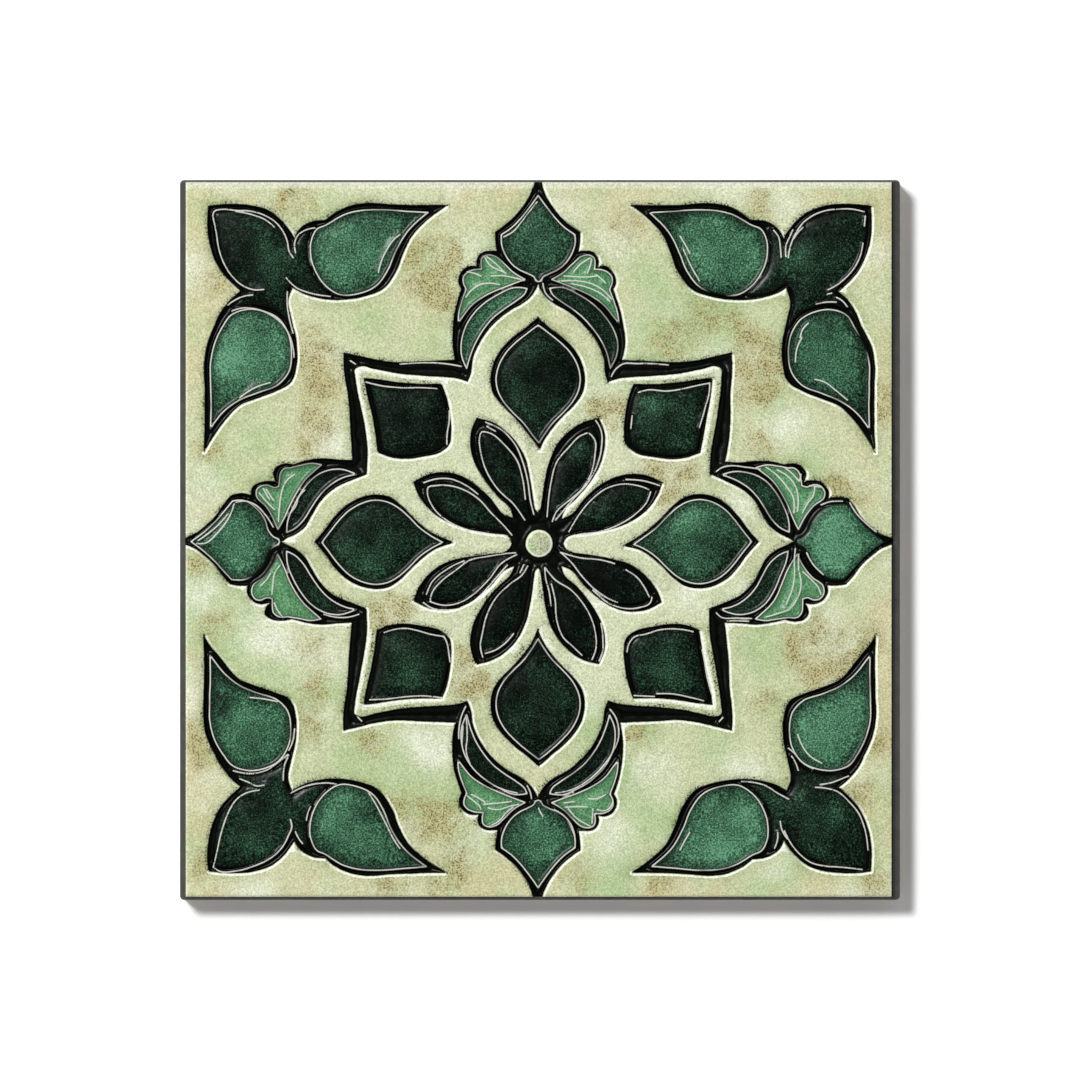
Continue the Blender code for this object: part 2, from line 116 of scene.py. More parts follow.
SEPAL_CELL: Stretches = (
    [(15.1, 36.6), (14.3, 39.4), (13.4, 41.7), (11.8, 44.5), (9.7, 47.1), (7.2, 49.1), (4.6, 50.8),
     (2.9, 52.2), (2.4, 53.3)],
    [(5.2, 53.5), (8.2, 52.3), (11.2, 50.5), (13.7, 48.1), (15.4, 45.3), (16.2, 42.3), (16.2, 39.5),
     (15.1, 36.6)],
)
PALMETTE_CELL: Stretches = (
    [(2.8, 55.2), (5.2, 56.6), (7.3, 58.6), (9.2, 60.2), (10.8, 60.5), (11.9, 59.9), (12.1, 58.8),
     (11.9, 57.5)],
    [(13.8, 57.4), (15.1, 56.8), (15.8, 55.9), (15.8, 54.7), (15.2, 53.4)],
    [(16.1, 50.9), (16.8, 48.2), (16.9, 46.2)],
    [(15.9, 47.6), (14.2, 49.8), (11.6, 51.7), (8.6, 53.1), (5.6, 54.2), (2.8, 55.2)],
)
FINIAL_CELL: Stretches = (
    [(0, 73.2), (1.9, 70.5), (3.8, 68.1), (5.7, 66.2), (7.8, 64.8)],
    [(7.8, 62.8), (7.2, 60.9), (5.9, 58.8), (4.0, 57.2), (2.1, 56.3), (0.9, 55.6), (0.6, 54.9)],
    [(0, 54.7)],
)
SIDE_FINIAL_CELL: Stretches = (
    [(73.4, 0), (70.8, 1.9), (68.4, 4.1), (66.4, 6.3), (64.8, 8.0)],
    [(61.8, 7.9), (59.6, 6.6), (58.0, 4.6), (57.0, 2.2), (56.0, 1.1), (54.9, 0.6)],
    [(54.7, 0)],
)
SIDE_SEPAL_CELL: Stretches = (
    [(38.6, 14.3), (41.6, 13.5), (44.2, 11.9), (46.4, 9.6), (48.0, 7.2), (49.6, 4.7), (51.4, 2.9),
     (53.2, 2.0)],
    [(53.0, 4.6), (52.0, 7.4), (50.2, 10.6), (48.0, 13.2), (45.3, 14.9), (42.4, 15.4), (38.6, 14.3)],
)
SIDE_PALMETTE_CELL: Stretches = (
    [(55.1, 2.6), (56.4, 5.2), (58.2, 7.6), (60.3, 9.4), (60.4, 10.8), (59.5, 11.9), (58.2, 12.1),
     (56.8, 11.6), (55.8, 11.9)],
    [(55.6, 13.2), (55.2, 14.7), (54.3, 15.6), (52.9, 15.7)],
    [(50.5, 16.2), (48.2, 16.6), (46.0, 16.3)],
    [(47.6, 14.9), (49.6, 13.0), (51.3, 10.6), (52.7, 8.0), (53.9, 5.0), (55.1, 2.6)],
)
SIDE_ARM_INSIDE: Stretches = (
    [(36.4, 14.3), (38.4, 13.5), (39.9, 12.9), (43, 11.4), (46, 8.6), (48, 5.3), (49.3, 3.2),
     (51.5, 1.5), (53, 0.8), (54.2, 0)],
)
SIDE_ARM_OUTSIDE: Stretches = (
    [(39.4, 17.1), (42, 17.2), (46, 17.5), (50, 16.9), (52, 16.3)],
    [(54.1, 16.5), (55.7, 16.0), (56.7, 14.8), (56.3, 12.7)],
    [(58.2, 12.9), (60.1, 12.3), (61.2, 11.0), (61.2, 9.2)],
    [(63, 9.3), (65.1, 9.0)],
    [(66.5, 7.5), (68.2, 5.2), (70.5, 3.0), (72.9, 1.3), (75.2, 0.6), (OUTSIDE, 0.6)],
)
SPRAY: Stretches = (
    [(52.3, 53.2), (50.3, 52.1), (46.5, 51.0), (41.5, 50.8), (36.8, 51.6), (33.1, 53.1), (30.5, 56.5),
     (28.8, 60.7), (27.1, 64.2), (24.1, 67.3), (19.5, 70.6)],
    [(25, 70.6), (31, 70.8), (37, 71.1), (41, 70.2), (43.6, 68.8), (45.2, 67.5)],
    [(48.0, 67.2), (50.6, 65.7), (51.8, 63.7)],
    [(54.2, 67.0), (57.0, 69.2), (60.3, 70.3), (65.0, 70.7), (70.0, 70.3)],
    [(70.2, 66.5), (69.4, 61.2), (67.4, 56.7), (65.2, 54.2), (63.2, 52.4)],
    [(65.3, 50.5), (66.8, 48.2), (68.0, 45.4)],
    [(69.0, 43.6), (70.3, 41.0), (70.9, 37.6), (70.8, 32.0), (70.8, 24), (71.0, 18.4)],
    [(69.0, 22.0), (66.4, 25.8), (63.3, 29.0), (59.6, 30.6), (56.0, 31.9), (52.7, 33.7), (51.5, 37.4),
     (51.5, 42.0), (52.6, 47.1), (53.2, 50.4), (52.3, 53.2)],
)
LEAF_CELL: Stretches = (
    [(23.6, 69.2), (28, 69.5), (34, 69.9), (38, 69.7), (41.2, 68.9), (43.9, 67.4)],
    [(45.2, 66.6), (47.0, 65.8), (48.3, 63.3), (48.4, 60.0), (47.3, 56.6), (45.1, 53.6), (42.2, 51.9),
     (38.2, 52.2), (34.6, 53.8), (32.2, 57.0), (30.6, 60.8), (28.2, 65.0), (23.6, 69.2)],
)
SIDE_LEAF_CELL: Stretches = (
    [(69.7, 23.6), (69.6, 28.5), (69.7, 33.5), (69.6, 38.4), (68.8, 41.2), (67.3, 43.9)],
    [(66.5, 45.2), (65.0, 47.5), (62.0, 48.7), (58.6, 48.4), (55.4, 46.9), (53.2, 43.6), (52.6, 39.6),
     (53.2, 36.0), (55.4, 33.4), (59.6, 31.8), (63.4, 30.2), (66.6, 27.8), (69.7, 23.6)],
)
TIP_CELL: Stretches = (
    [(68.9, 69.2), (64.6, 69.4), (60.0, 68.5), (56.2, 66.8), (53.9, 64.5), (52.4, 61.6)],
    [(51.6, 63.0), (50.3, 64.8), (48.9, 65.6)],
    [(49.2, 63.2), (49.2, 60.0), (48.2, 56.4), (46.3, 53.9), (44.6, 51.9)],
    [(47.4, 51.9), (49.8, 52.8), (52.2, 54.4)],
    [(53.5, 52.6), (53.9, 50.4), (53.4, 47.6), (52.9, 45.4)],
    [(55.0, 48.0), (58.4, 49.4), (62.0, 49.7), (64.4, 49.2)],
    [(63.4, 50.9), (62.0, 52.2)],
    [(64.8, 55.1), (67.4, 58.4), (68.5, 62.6), (68.9, 69.2)],
)

# The mould was cut by hand: near each place the drawing is pushed by the shift, over about the reach.
HAND_SHIFTS: tuple[tuple[Point, Point, float], ...] = (
    ((34, 60), (-1.1, -0.5), 14), ((62, 33), (-0.1, -1.0), 13),
    ((-36, 61), (-0.1, -0.4), 14), ((-60, 33), (0.1, -0.8), 12),
    ((-62, -34), (-0.2, -0.8), 13), ((-32, -60), (-1.0, -0.3), 12),
    ((60, -33), (0.3, -0.9), 13), ((40, -61), (-0.4, -0.3), 12),
    ((71, -19), (0.0, -1.8), 5), ((-71, -19), (0.0, -1.8), 5),
    ((68, -46), (0.5, -0.3), 4), ((-68, -45), (-0.5, 0.0), 4), ((-68, 46), (-0.7, 0.0), 4),
    ((0, 58), (0.1, 0.3), 12), ((16.5, 42), (0.6, 0.0), 5), ((0, -44), (0.2, -0.4), 5),
    ((40, 0), (-0.9, 0.0), 8), ((-37, 0), (0.0, -0.3), 11), ((44, 17), (0.0, -0.7), 5),
    ((65, 8), (0.5, 0.0), 5), ((52, -7), (-0.8, 0.0), 5), ((56, -15), (0.5, -0.4), 4),
    ((38, 24), (0.4, 0.0), 9), ((-40, 25), (0.7, 0.0), 9), ((-40, -25), (0.4, 0.0), 9),
    ((-58, 12), (1.1, -0.2), 6), ((-63.5, 9.5), (0.0, 0.9), 3.5),
    ((-57.4, -14.9), (-1.0, -0.5), 3.5), ((-13, -57), (0.4, 0.3), 7),
    ((0, 18.6), (0.4, 0.7), 2.5), ((18.6, 0), (-0.5, -0.5), 2.5), ((-18.6, 0), (0.7, 0.0), 2.5),
    ((20, 12), (0.0, -0.4), 7), ((20, -9), (-0.1, -0.5), 8), ((11, 0), (0.0, -0.6), 8),
    ((-11, 0), (0.0, -0.6), 8), ((0, -7), (0.0, 0.8), 3),
)

# Pale lines trailed by hand over the cells and the channels, stroke by stroke around the tile.
THREADS: tuple[list[Point], ...] = (
    [(49.4, 65.5), (50.5, 64.0), (50.8, 62.1), (51.0, 59.8)],
    [(52.0, 59.9), (52.0, 62.1), (52.9, 64.3), (53.5, 65.6)],
    [(52.5, 59.7), (52.9, 61.9), (53.8, 64.3), (55.3, 66.7), (57.5, 68.5), (60.2, 69.6), (63.5, 70.0),
     (66.5, 69.9), (68.6, 69.4)],
    [(53.7, 63.8), (54.7, 65.2), (55.6, 66.1)], [(68.8, 68.5), (68.6, 66.4)],
    [(68.3, 62.8), (67.7, 60.0), (66.5, 57.6), (64.7, 55.5), (62.9, 54.0), (60.9, 52.9)],
    [(60.8, 52.0), (61.7, 52.2)], [(62.7, 51.3), (63.8, 50.7), (65.0, 49.3)],
    [(58.4, 49.9), (60.5, 50.3), (62.6, 50.3)],
    [(29.6, 64.3), (30.5, 62.8), (31.7, 60.6)],
    [(56.8, 45.9), (55.6, 44.6), (55.0, 42.8)], [(55.4, 42.8), (54.4, 40.7), (54.0, 37.6)],
    [(58.1, 34.0), (60.2, 33.4), (62.6, 31.6), (65.0, 29.6)],
    [(-69.2, 68.5), (-68.9, 69.5), (-67.3, 69.9), (-64.3, 69.7), (-60.9, 69.5), (-57.9, 68.5),
     (-55.5, 66.8), (-54.0, 64.6), (-53.4, 63.0), (-53.1, 61.2), (-52.2, 59.7)],
    [(-64.3, 69.5), (-60.9, 68.8), (-57.9, 67.6), (-56.2, 66.2)],
    [(-51.7, 60.8), (-51.9, 62.7), (-51.3, 64.3), (-49.7, 65.5), (-47.6, 66.0)],
    [(-69.2, 68.5), (-68.5, 65.2), (-67.9, 61.5), (-66.7, 58.2), (-64.9, 55.5), (-62.7, 53.7),
     (-60.3, 52.9), (-58.4, 53.0)],
    [(-66.0, 49.7), (-64.0, 51.0), (-62.4, 51.6), (-60.8, 51.8)],
    [(-53.7, 55.5), (-51.6, 53.4), (-48.5, 52.2), (-44.3, 51.5)],
    [(-53.4, 52.5), (-53.5, 50.3), (-53.1, 47.3), (-52.2, 43.7)],
    [(-65.2, 48.4), (-63.4, 49.0), (-60.9, 49.0), (-57.9, 48.1), (-55.5, 46.6), (-53.7, 44.6),
     (-52.6, 42.2), (-52.0, 38.6)],
    [(-63.5, 30.1), (-60.3, 32.2), (-57.0, 33.3)],
    [(-34.2, 56.5), (-33.7, 58.5), (-32.5, 61.2), (-30.7, 63.7), (-29.6, 64.6)],
    [(-64.9, -48.8), (-60.9, -49.4), (-57.9, -48.7), (-55.2, -46.9), (-53.1, -45.3), (-54.0, -47.5),
     (-54.3, -50.8)],
    [(-61.4, -33.3), (-58.5, -33.6), (-55.5, -34.2)], [(-51.9, -39.9), (-52.3, -42.6), (-53.1, -44.5)],
    [(-63.5, -50.5), (-61.5, -51.3), (-60.0, -52.0), (-58.3, -51.8)],
    [(-59.4, -52.9), (-62.1, -53.5), (-64.3, -55.0), (-65.5, -56.8), (-66.7, -59.6), (-67.6, -62.6),
     (-68.3, -65.9), (-69.1, -69.2)],
    [(-69.1, -69.2), (-67.9, -70.0), (-64.3, -70.0), (-60.3, -68.9), (-56.7, -67.1), (-54.3, -64.7),
     (-53.1, -62.3), (-52.5, -60.8), (-52.8, -59.1)],
    [(-51.7, -61.7), (-51.0, -63.2), (-50.2, -64.2)],
    [(-52.6, -53.5), (-50.7, -52.5), (-48.2, -51.7), (-44.9, -51.4), (-43.1, -51.6)],
    [(-48.5, -56.4), (-49.1, -57.8), (-49.4, -59.3)],
    [(-36.4, -53.2), (-34.9, -55.6), (-32.8, -59.6), (-31.0, -63.2), (-29.6, -65.3)],
    [(54.5, -41.1), (55.3, -43.2), (56.8, -45.4), (59.6, -47.2)],
    [(52.5, -44.0), (53.8, -45.1), (55.3, -46.9), (57.8, -48.4)],
    [(53.2, -45.7), (54.1, -47.2), (54.6, -48.7)],
    [(58.2, -52.3), (60.5, -52.5), (62.9, -53.2), (65.3, -55.3), (67.4, -57.8), (68.6, -60.8),
     (69.4, -65.6)],
    [(59.3, -51.7), (61.7, -51.3), (63.8, -50.5), (65.3, -49.9)],
    [(51.7, -61.5), (53.2, -64.4), (55.0, -66.5), (57.5, -68.3), (59.9, -68.9), (63.8, -69.2),
     (68.2, -69.7)],
    [(50.8, -59.4), (51.1, -61.1), (52.3, -63.2)], [(50.3, -61.8), (50.2, -63.5), (49.6, -65.2)],
    [(42.6, -51.1), (45.4, -51.3), (47.8, -52.0), (50.2, -53.5), (52.6, -54.8)],
    [(29.6, -65.6), (30.5, -63.8), (31.7, -61.8)],
    [(37.9, -38.4), (38.7, -37.5)], [(-39.0, -36.3), (-38.6, -37.3), (-37.7, -38.3)],
    [(-40.1, 37.9), (-39.0, 37.2)],
    [(-11.8, 60.0), (-10.3, 57.9), (-8.5, 57.0), (-7.1, 56.4)], [(-11.2, 59.9), (-9.1, 58.2), (-7.6, 56.7)],
    [(-15.4, 56.7), (-13.9, 56.4), (-12.4, 55.8)],
    [(-10.3, 55.8), (-7.9, 55.9), (-5.7, 55.5), (-3.3, 54.9)],
    [(-15.7, 51.3), (-14.5, 52.8), (-12.7, 54.0), (-10.3, 54.3), (-8.5, 54.0)],
    [(10.6, 59.6), (8.8, 58.5), (7.1, 56.7)], [(10.9, 59.4), (10.6, 57.9), (10.0, 56.4)],
    [(11.9, 56.1), (13.0, 55.2), (13.9, 54.3)], [(5.1, 55.8), (7.3, 55.7), (9.7, 55.6), (11.8, 55.8)],
    [(3.6, 54.7), (7.9, 54.8), (10.6, 54.3), (13.0, 53.1), (15.1, 51.0)],
    [(6.7, 54.2), (9.7, 53.5), (12.7, 52.2), (14.8, 50.4)],
    [(-7.7, 64.1), (-5.7, 65.2), (-3.9, 67.3), (-1.8, 70.0), (-0.6, 71.5)],
    [(0.6, 54.3), (1.2, 52.2), (2.7, 50.7)],
    [(-29.6, 37.2), (-23.6, 37.5), (-19.4, 37.2), (-16.6, 36.7)],
    [(15.1, 34.6), (16.0, 36.1), (17.5, 37.2), (20.6, 37.3), (23.3, 37.3), (27.2, 37.0)],
    [(47.8, 15.4), (50.2, 13.6), (52.0, 11.5), (53.5, 9.1), (53.7, 5.7)],
    [(50.2, 14.8), (52.6, 13.3), (54.1, 11.2), (54.6, 8.5), (54.4, 6.0)],
    [(51.7, 15.3), (53.5, 13.9), (54.7, 12.5)], [(55.2, 13.9), (54.9, 12.4)],
    [(58.1, 11.0), (57.8, 9.4), (56.5, 7.6), (55.5, 5.7)], [(57.0, 11.5), (59.3, 11.2)],
    [(37.3, 14.5), (38.7, 15.4), (40.5, 15.7), (43.5, 15.4), (46.6, 15.0)],
    [(59.4, 7.4), (61.4, 8.1), (64.0, 8.2)], [(65.5, 7.9), (67.1, 5.4), (69.2, 3.3), (71.1, 1.7)],
    [(56.4, -2.7), (57.5, -4.8), (59.9, -7.3)],
    [(54.0, -1.8), (53.8, -4.2), (53.8, -7.6), (53.2, -10.9), (52.0, -13.6)],
    [(54.7, -3.0), (54.7, -6.0), (55.2, -9.1), (54.7, -11.8), (53.5, -13.9)],
    [(55.6, -6.7), (57.5, -8.5), (59.0, -10.3), (59.4, -11.5)],
    [(47.8, -16.3), (50.8, -15.4), (52.6, -14.8)],
    [(37.3, -15.4), (38.1, -16.2), (41.7, -16.5), (44.8, -16.6)],
    [(39.6, -17.1), (41.7, -17.1), (44.1, -17.2)],
    [(-15.4, -54.1), (-13.9, -55.3), (-12.7, -56.4), (-12.5, -57.0)],
    [(-14.5, -53.8), (-13.3, -54.4), (-11.8, -55.3)],
    [(-11.9, -55.9), (-8.5, -55.6), (-6.0, -55.3)],
    [(-11.0, -56.7), (-8.5, -57.0), (-6.7, -56.4), (-4.5, -55.9)],
    [(-10.6, -60.5), (-8.5, -59.3), (-7.3, -57.8), (-5.7, -56.5)],
    [(-15.7, -35.2), (-16.6, -37.2), (-17.1, -39.6), (-17.2, -42.0)], [(-16.3, -39.3), (-16.5, -42.9)],
    [(-15.6, -37.5), (-15.4, -41.7), (-15.6, -44.8), (-14.8, -47.3)],
    [(-9.8, -51.9), (-7.3, -52.9), (-4.8, -53.5)], [(-2.7, -52.0), (-2.0, -53.5), (-1.8, -54.7)],
    [(10.3, -54.7), (12.1, -54.7), (13.9, -53.8)], [(5.1, -55.6), (7.3, -55.3)],
    [(5.4, -56.5), (7.9, -56.4), (10.0, -56.4)], [(6.0, -56.8), (7.6, -58.7), (9.4, -59.9), (10.6, -60.5)],
    [(11.2, -56.8), (11.0, -59.9)], [(12.1, -57.0), (13.9, -57.2), (15.1, -56.2), (15.4, -55.0)],
    [(14.8, -35.8), (16.0, -37.5), (16.6, -39.6), (16.5, -42.3), (15.4, -44.8), (13.6, -47.5),
     (10.6, -50.5), (6.7, -52.8), (3.3, -53.5)],
    [(3.0, -57.0), (4.8, -58.1), (6.4, -59.9), (7.3, -62.3), (7.4, -63.5)],
    [(-0.3, -56.7), (0.2, -57.8), (0.6, -58.4)],
    [(-72.3, -0.1), (-70.0, 1.5), (-67.9, 3.3), (-66.1, 5.4)],
    [(-72.7, -0.8), (-70.6, -0.6), (-68.2, 1.5), (-66.1, 4.2), (-65.2, 6.0), (-64.7, 7.6)],
    [(-64.3, 8.0), (-62.1, 8.2), (-60.0, 7.3), (-57.9, 5.1), (-56.4, 2.7)],
    [(-51.9, 13.9), (-53.7, 12.4), (-54.6, 10.3), (-55.0, 7.9), (-55.3, 3.9)],
    [(-58.5, 10.9), (-57.9, 9.7), (-57.2, 8.6)], [(-57.9, 10.7), (-56.4, 8.5)],
    [(-59.4, 10.0), (-57.9, 8.2), (-56.1, 6.4)], [(-49.7, 10.6), (-51.0, 9.1), (-51.6, 7.3), (-52.6, 5.9)],
    [(-57.0, -7.1), (-57.9, -8.5), (-59.1, -9.7)],
    [(-55.0, -5.4), (-56.1, -7.0), (-56.5, -9.4), (-56.7, -11.5)],
    [(-56.2, -13.3), (-55.5, -14.8), (-54.4, -16.3)],
    [(-45.7, -15.7), (-43.4, -16.3), (-40.4, -16.3), (-38.3, -15.7)],
    [(-3.2, 4.2), (-5.7, 7.7), (-8.8, 10.6), (-11.2, 14.3), (-12.5, 18.3), (-12.7, 22.0), (-12.4, 22.8),
     (-10.9, 22.7), (-7.5, 20.1), (-4.8, 16.7), (-3.7, 13.1), (-3.1, 8.6)],
    [(-11.5, 24.9), (-8.2, 23.3), (-5.4, 20.4), (-3.6, 16.4), (-2.6, 12.5), (-2.0, 8.2), (-1.3, 5.4)],
    [(-11.2, 24.0), (-9.4, 23.0)],
    [(1.5, 4.9), (1.8, 8.5), (2.4, 12.5), (3.5, 16.4), (6.0, 19.5), (8.7, 22.1), (10.2, 22.6),
     (11.5, 21.3), (11.6, 17.7), (10.6, 13.7), (8.4, 10.3), (5.6, 7.9), (3.5, 6.0), (2.6, 3.9)],
    [(11.8, 25.3), (12.9, 23.2), (13.0, 19.5), (12.1, 15.8), (9.9, 11.8), (6.9, 8.5), (3.3, 4.2)],
    [(6.1, 1.7), (8.1, 5.1), (10.9, 8.5), (13.9, 10.8), (17.3, 11.8), (20.7, 11.5), (23.0, 10.7)],
    [(23.4, 10.2), (22.5, 7.9), (20.1, 5.4), (16.4, 3.1), (12.4, 1.7), (7.2, 0.8), (5.3, -0.6)],
    [(18.2, 12.8), (21.9, 12.5), (25.3, 11.5)],
    [(4.3, -2.6), (6.6, -4.7), (9.0, -7.8), (11.8, -10.6), (14.5, -12.4), (16.4, -13.2)],
    [(4.4, -2.6), (8.1, -3.7), (13.3, -4.3), (15.8, -5.0)],
    [(18.2, -6.3), (20.7, -8.1), (22.2, -10.2), (23.1, -12.0)],
    [(23.7, -12.1), (23.3, -13.3), (21.0, -14.3), (18.2, -14.5), (14.8, -13.5), (11.2, -10.6)],
    [(1.2, -6.0), (3.2, -8.4), (6.6, -10.6), (9.0, -13.3), (10.9, -16.7), (11.8, -20.1), (11.8, -23.1),
     (11.0, -25.3)],
    [(2.4, -9.3), (3.2, -12.7), (3.5, -16.7), (5.0, -20.7), (6.9, -22.5), (8.9, -24.4)],
    [(1.0, -5.8), (1.2, -8.1), (2.0, -11.2), (2.3, -13.9)],
    [(12.9, -17.6), (13.3, -20.7), (13.2, -23.7), (12.5, -25.6)],
    [(-2.6, -5.5), (-3.6, -7.2), (-6.3, -9.3), (-9.4, -12.4), (-11.2, -15.8), (-12.1, -19.4),
     (-12.6, -22.5), (-12.1, -24.8)],
    [(-3.4, -5.2), (-4.2, -6.9)], [(-5.6, -19.8), (-6.9, -21.4), (-9.1, -23.1), (-11.5, -24.0)],
    [(-23.3, -13.0), (-22.7, -10.9), (-20.7, -8.6), (-17.7, -6.3), (-14.9, -4.3), (-11.2, -3.5),
     (-7.5, -2.9), (-5.1, -2.7)],
    [(-24.0, -11.5), (-22.9, -9.0), (-19.5, -6.1), (-16.1, -4.4)],
    [(-23.3, -13.0), (-20.4, -13.8), (-17.1, -13.3), (-13.7, -11.2), (-10.6, -8.1), (-8.2, -5.0),
     (-4.9, -3.1)],
    [(-24.7, -13.2), (-22.9, -14.4), (-19.5, -14.8), (-15.8, -14.1), (-12.5, -11.6), (-9.4, -8.1),
     (-6.9, -5.3)],
    [(-5.9, 1.0), (-7.9, 3.3), (-10.3, 5.7), (-12.8, 8.5), (-16.1, 10.6), (-19.2, 11.5), (-22.0, 11.5),
     (-23.7, 11.1), (-23.8, 10.0), (-22.6, 6.9), (-19.5, 4.0), (-15.8, 2.3), (-11.2, 1.4), (-6.9, 0.8)],
    [(-24.6, 12.1), (-22.0, 12.9), (-18.9, 12.9), (-16.1, 11.8), (-13.1, 9.7)],
    [(30.3, 61.5), (31.8, 58.2), (33.7, 54.8)],
    [(20.8, 31.2), (22.6, 31.7), (26.9, 31.5), (29.9, 31.9), (32.9, 32.6), (35.9, 33.2)],
    [(35.9, 33.2), (35.8, 31.2), (35.0, 28.2), (34.3, 25.7), (33.7, 23.8)], [(19.5, 26.3), (19.2, 23.6)],
    [(-36.8, 33.4), (-33.4, 32.6), (-29.1, 32.2), (-24.8, 32.2), (-21.8, 32.0)],
    [(-19.2, 27.3), (-19.2, 25.1), (-19.6, 22.7), (-19.7, 20.2)],
    [(-33.0, -19.6), (-31.2, -19.0), (-28.5, -18.7), (-26.1, -19.1), (-23.3, -19.9), (-20.3, -20.4)],
    [(-20.3, -20.4), (-19.6, -22.0), (-19.3, -23.9), (-19.0, -25.8)],
    [(-36.0, -33.8), (-32.1, -33.6), (-27.6, -33.1), (-24.2, -33.0), (-20.6, -33.4)],
    [(18.4, -23.7), (18.8, -22.0), (19.8, -20.6), (22.4, -19.9), (25.4, -19.0), (27.5, -18.8),
     (29.9, -18.9), (32.4, -19.4)],
    [(19.9, -32.9), (24.2, -33.1)], [(24.7, -32.5), (28.4, -32.6), (31.4, -33.2), (34.6, -34.0)],
    [(34.3, -23.2), (34.7, -25.1), (35.3, -28.7), (36.3, -32.6)],
)

# Where the border of a cell was left out, and how far from the place.
BORDER_GAPS: tuple[tuple[Point, float], ...] = (
    ((37.5, 52.3), 4.0), ((69.2, 42.0), 4.0), ((4.4, -59.2), 2.6), ((-59.8, -6.4), 3.4),
    ((-57.4, -3.2), 2.4),
)

# Thin glaze shows greener and thick glaze blacker: place, how much greener, and over what reach.
GREEN_SPOTS: tuple[tuple[Point, float, float], ...] = (
    ((-36.7, -4.2), 0.18, 6), ((33.9, 4.9), 0.22, 7), ((40.9, -2.5), -0.22, 6), ((-6.7, 33.2), 0.10, 4),
    ((-3.5, 42.3), 0.10, 4), ((4.2, 35.6), -0.12, 4), ((3.2, -32.1), 0.06, 4), ((23.3, 28.6), 0.26, 5),
    ((-34.9, 31.8), 0.14, 5), ((-31, -21.5), 0.16, 5), ((-27.9, -29.3), 0.14, 5), ((26.8, -29.6), 0.18, 5),
    ((-8.1, 49.7), 0.26, 4), ((47.3, 9.9), 0.24, 3), ((-46.6, -12), 0.22, 3), ((-48.3, 10.9), 0.22, 3),
    ((8.5, 19.1), 0.34, 2.4), ((13.8, 6.4), 0.22, 4), ((-59.3, 67), 0.20, 4), ((-57.5, 61.7), 0.16, 4),
    ((-55.4, 57.5), 0.16, 4), ((54.3, 60.3), 0.22, 3), ((61.7, 56.1), 0.10, 4), ((-56.1, -48), 0.16, 3),
    ((-59.6, -63.8), 0.14, 4), ((63.1, -57.9), 0.22, 3), ((48, -55.7), 0.18, 4), ((-43.7, 59.6), 0.10, 7),
    ((-67, 39.2), 0.12, 6), ((38.8, 60), 0.14, 7), ((58.9, 40.2), 0.14, 7), ((-63, -40), 0.12, 6),
    ((-67, -34.6), -0.25, 3), ((-42, -60), 0.12, 6), ((-36.7, -57.1), -0.22, 3), ((61.4, -38.1), 0.12, 6),
    ((38.4, -63.8), 0.10, 5), ((40.9, -54), -0.20, 3), ((47.5, 57.5), 0.12, 4), ((27.5, 67.2), -0.25, 4),
    ((68.6, 26), -0.22, 4), ((-27.5, 67.2), -0.2, 4), ((-69, 26), -0.2, 4), ((-69, -26.5), -0.2, 4),
    ((69, -26.5), -0.2, 4), ((27, -67.5), -0.2, 4), ((-27.5, -67.5), -0.2, 4),
)

# Where the pale glaze of the field is stained brown, bloomed white, or a fresher green.
BROWN_SPOTS: tuple[Point, ...] = (
    (-51.5, 72.7), (-51.9, 70.2), (-69.1, 54.3), (-49, 42), (-46.9, 38.5), (-46.6, 35.6), (-46, 32),
    (-26.8, 59.6), (-25, 54.7), (-19.8, 60.7), (-19.8, 57.5), (-21.2, 49.7), (18.3, 65.6), (30.7, 43.4),
    (26.5, 42), (35, 47.5), (45.2, 41.3), (44.8, 36.4), (44.8, 31.4), (45.9, 70.9), (72.3, 27.9),
    (40.9, 46.9), (46.6, 20.1), (30.3, 13.4), (54.3, -21.9), (65.6, 7.8), (61.7, 10.6), (-46.6, 25.1),
    (-48.3, 20.5), (-68.1, -18), (-72.7, -5.3), (-48.3, -22.6), (-34.9, -16.6), (-47.3, -32.1),
    (-49, -40.9), (-73, -40.2), (-72, -45.2), (-35.6, -42.3), (-26.8, -60.3), (-28.6, -55.7),
    (-31.4, -72.7), (-16.2, -28.6), (-21.2, -57.1), (-17.3, -61.4), (-18, -68.8), (20.5, -41.6),
    (8.1, -71.6), (-21.2, -72.7), (61.4, -24.7), (47.6, -35.3), (68.4, -54.3), (72.3, -43),
    (70.2, -72.7), (25.4, -72.3), (16.5, 9.2), (18, 26.2), (12.5, 28.5),
    (59, -19), (65, -27), (70, -21), (57, -28), (49, 38), (42, 33), (48, 33), (71, 31), (27, 10), (24, 17),
    (-19, -25), (-13, -32), (-30, -14), (-70, 20), (-72, -68),
)
BLOOM_SPOTS: tuple[Point, ...] = (
    (-73.4, 58.2), (4.2, 68.8), (15.2, 62.1), (51.9, 70.9), (51.5, 24.3), (43.7, 7.4), (31.4, -12.3),
    (43, -11.3), (-43.4, 21.2), (-72, -11.3), (-54.3, -21.2), (-60.3, -19.4), (-45.5, -24.3),
    (-24.7, -43), (-60.7, -74.1), (-73.7, -34.6), (-21.2, -43), (15.5, -63.1), (24.3, -49),
    (43, -49.4), (65.6, -24), (14, 30.5), (38, 36),
)
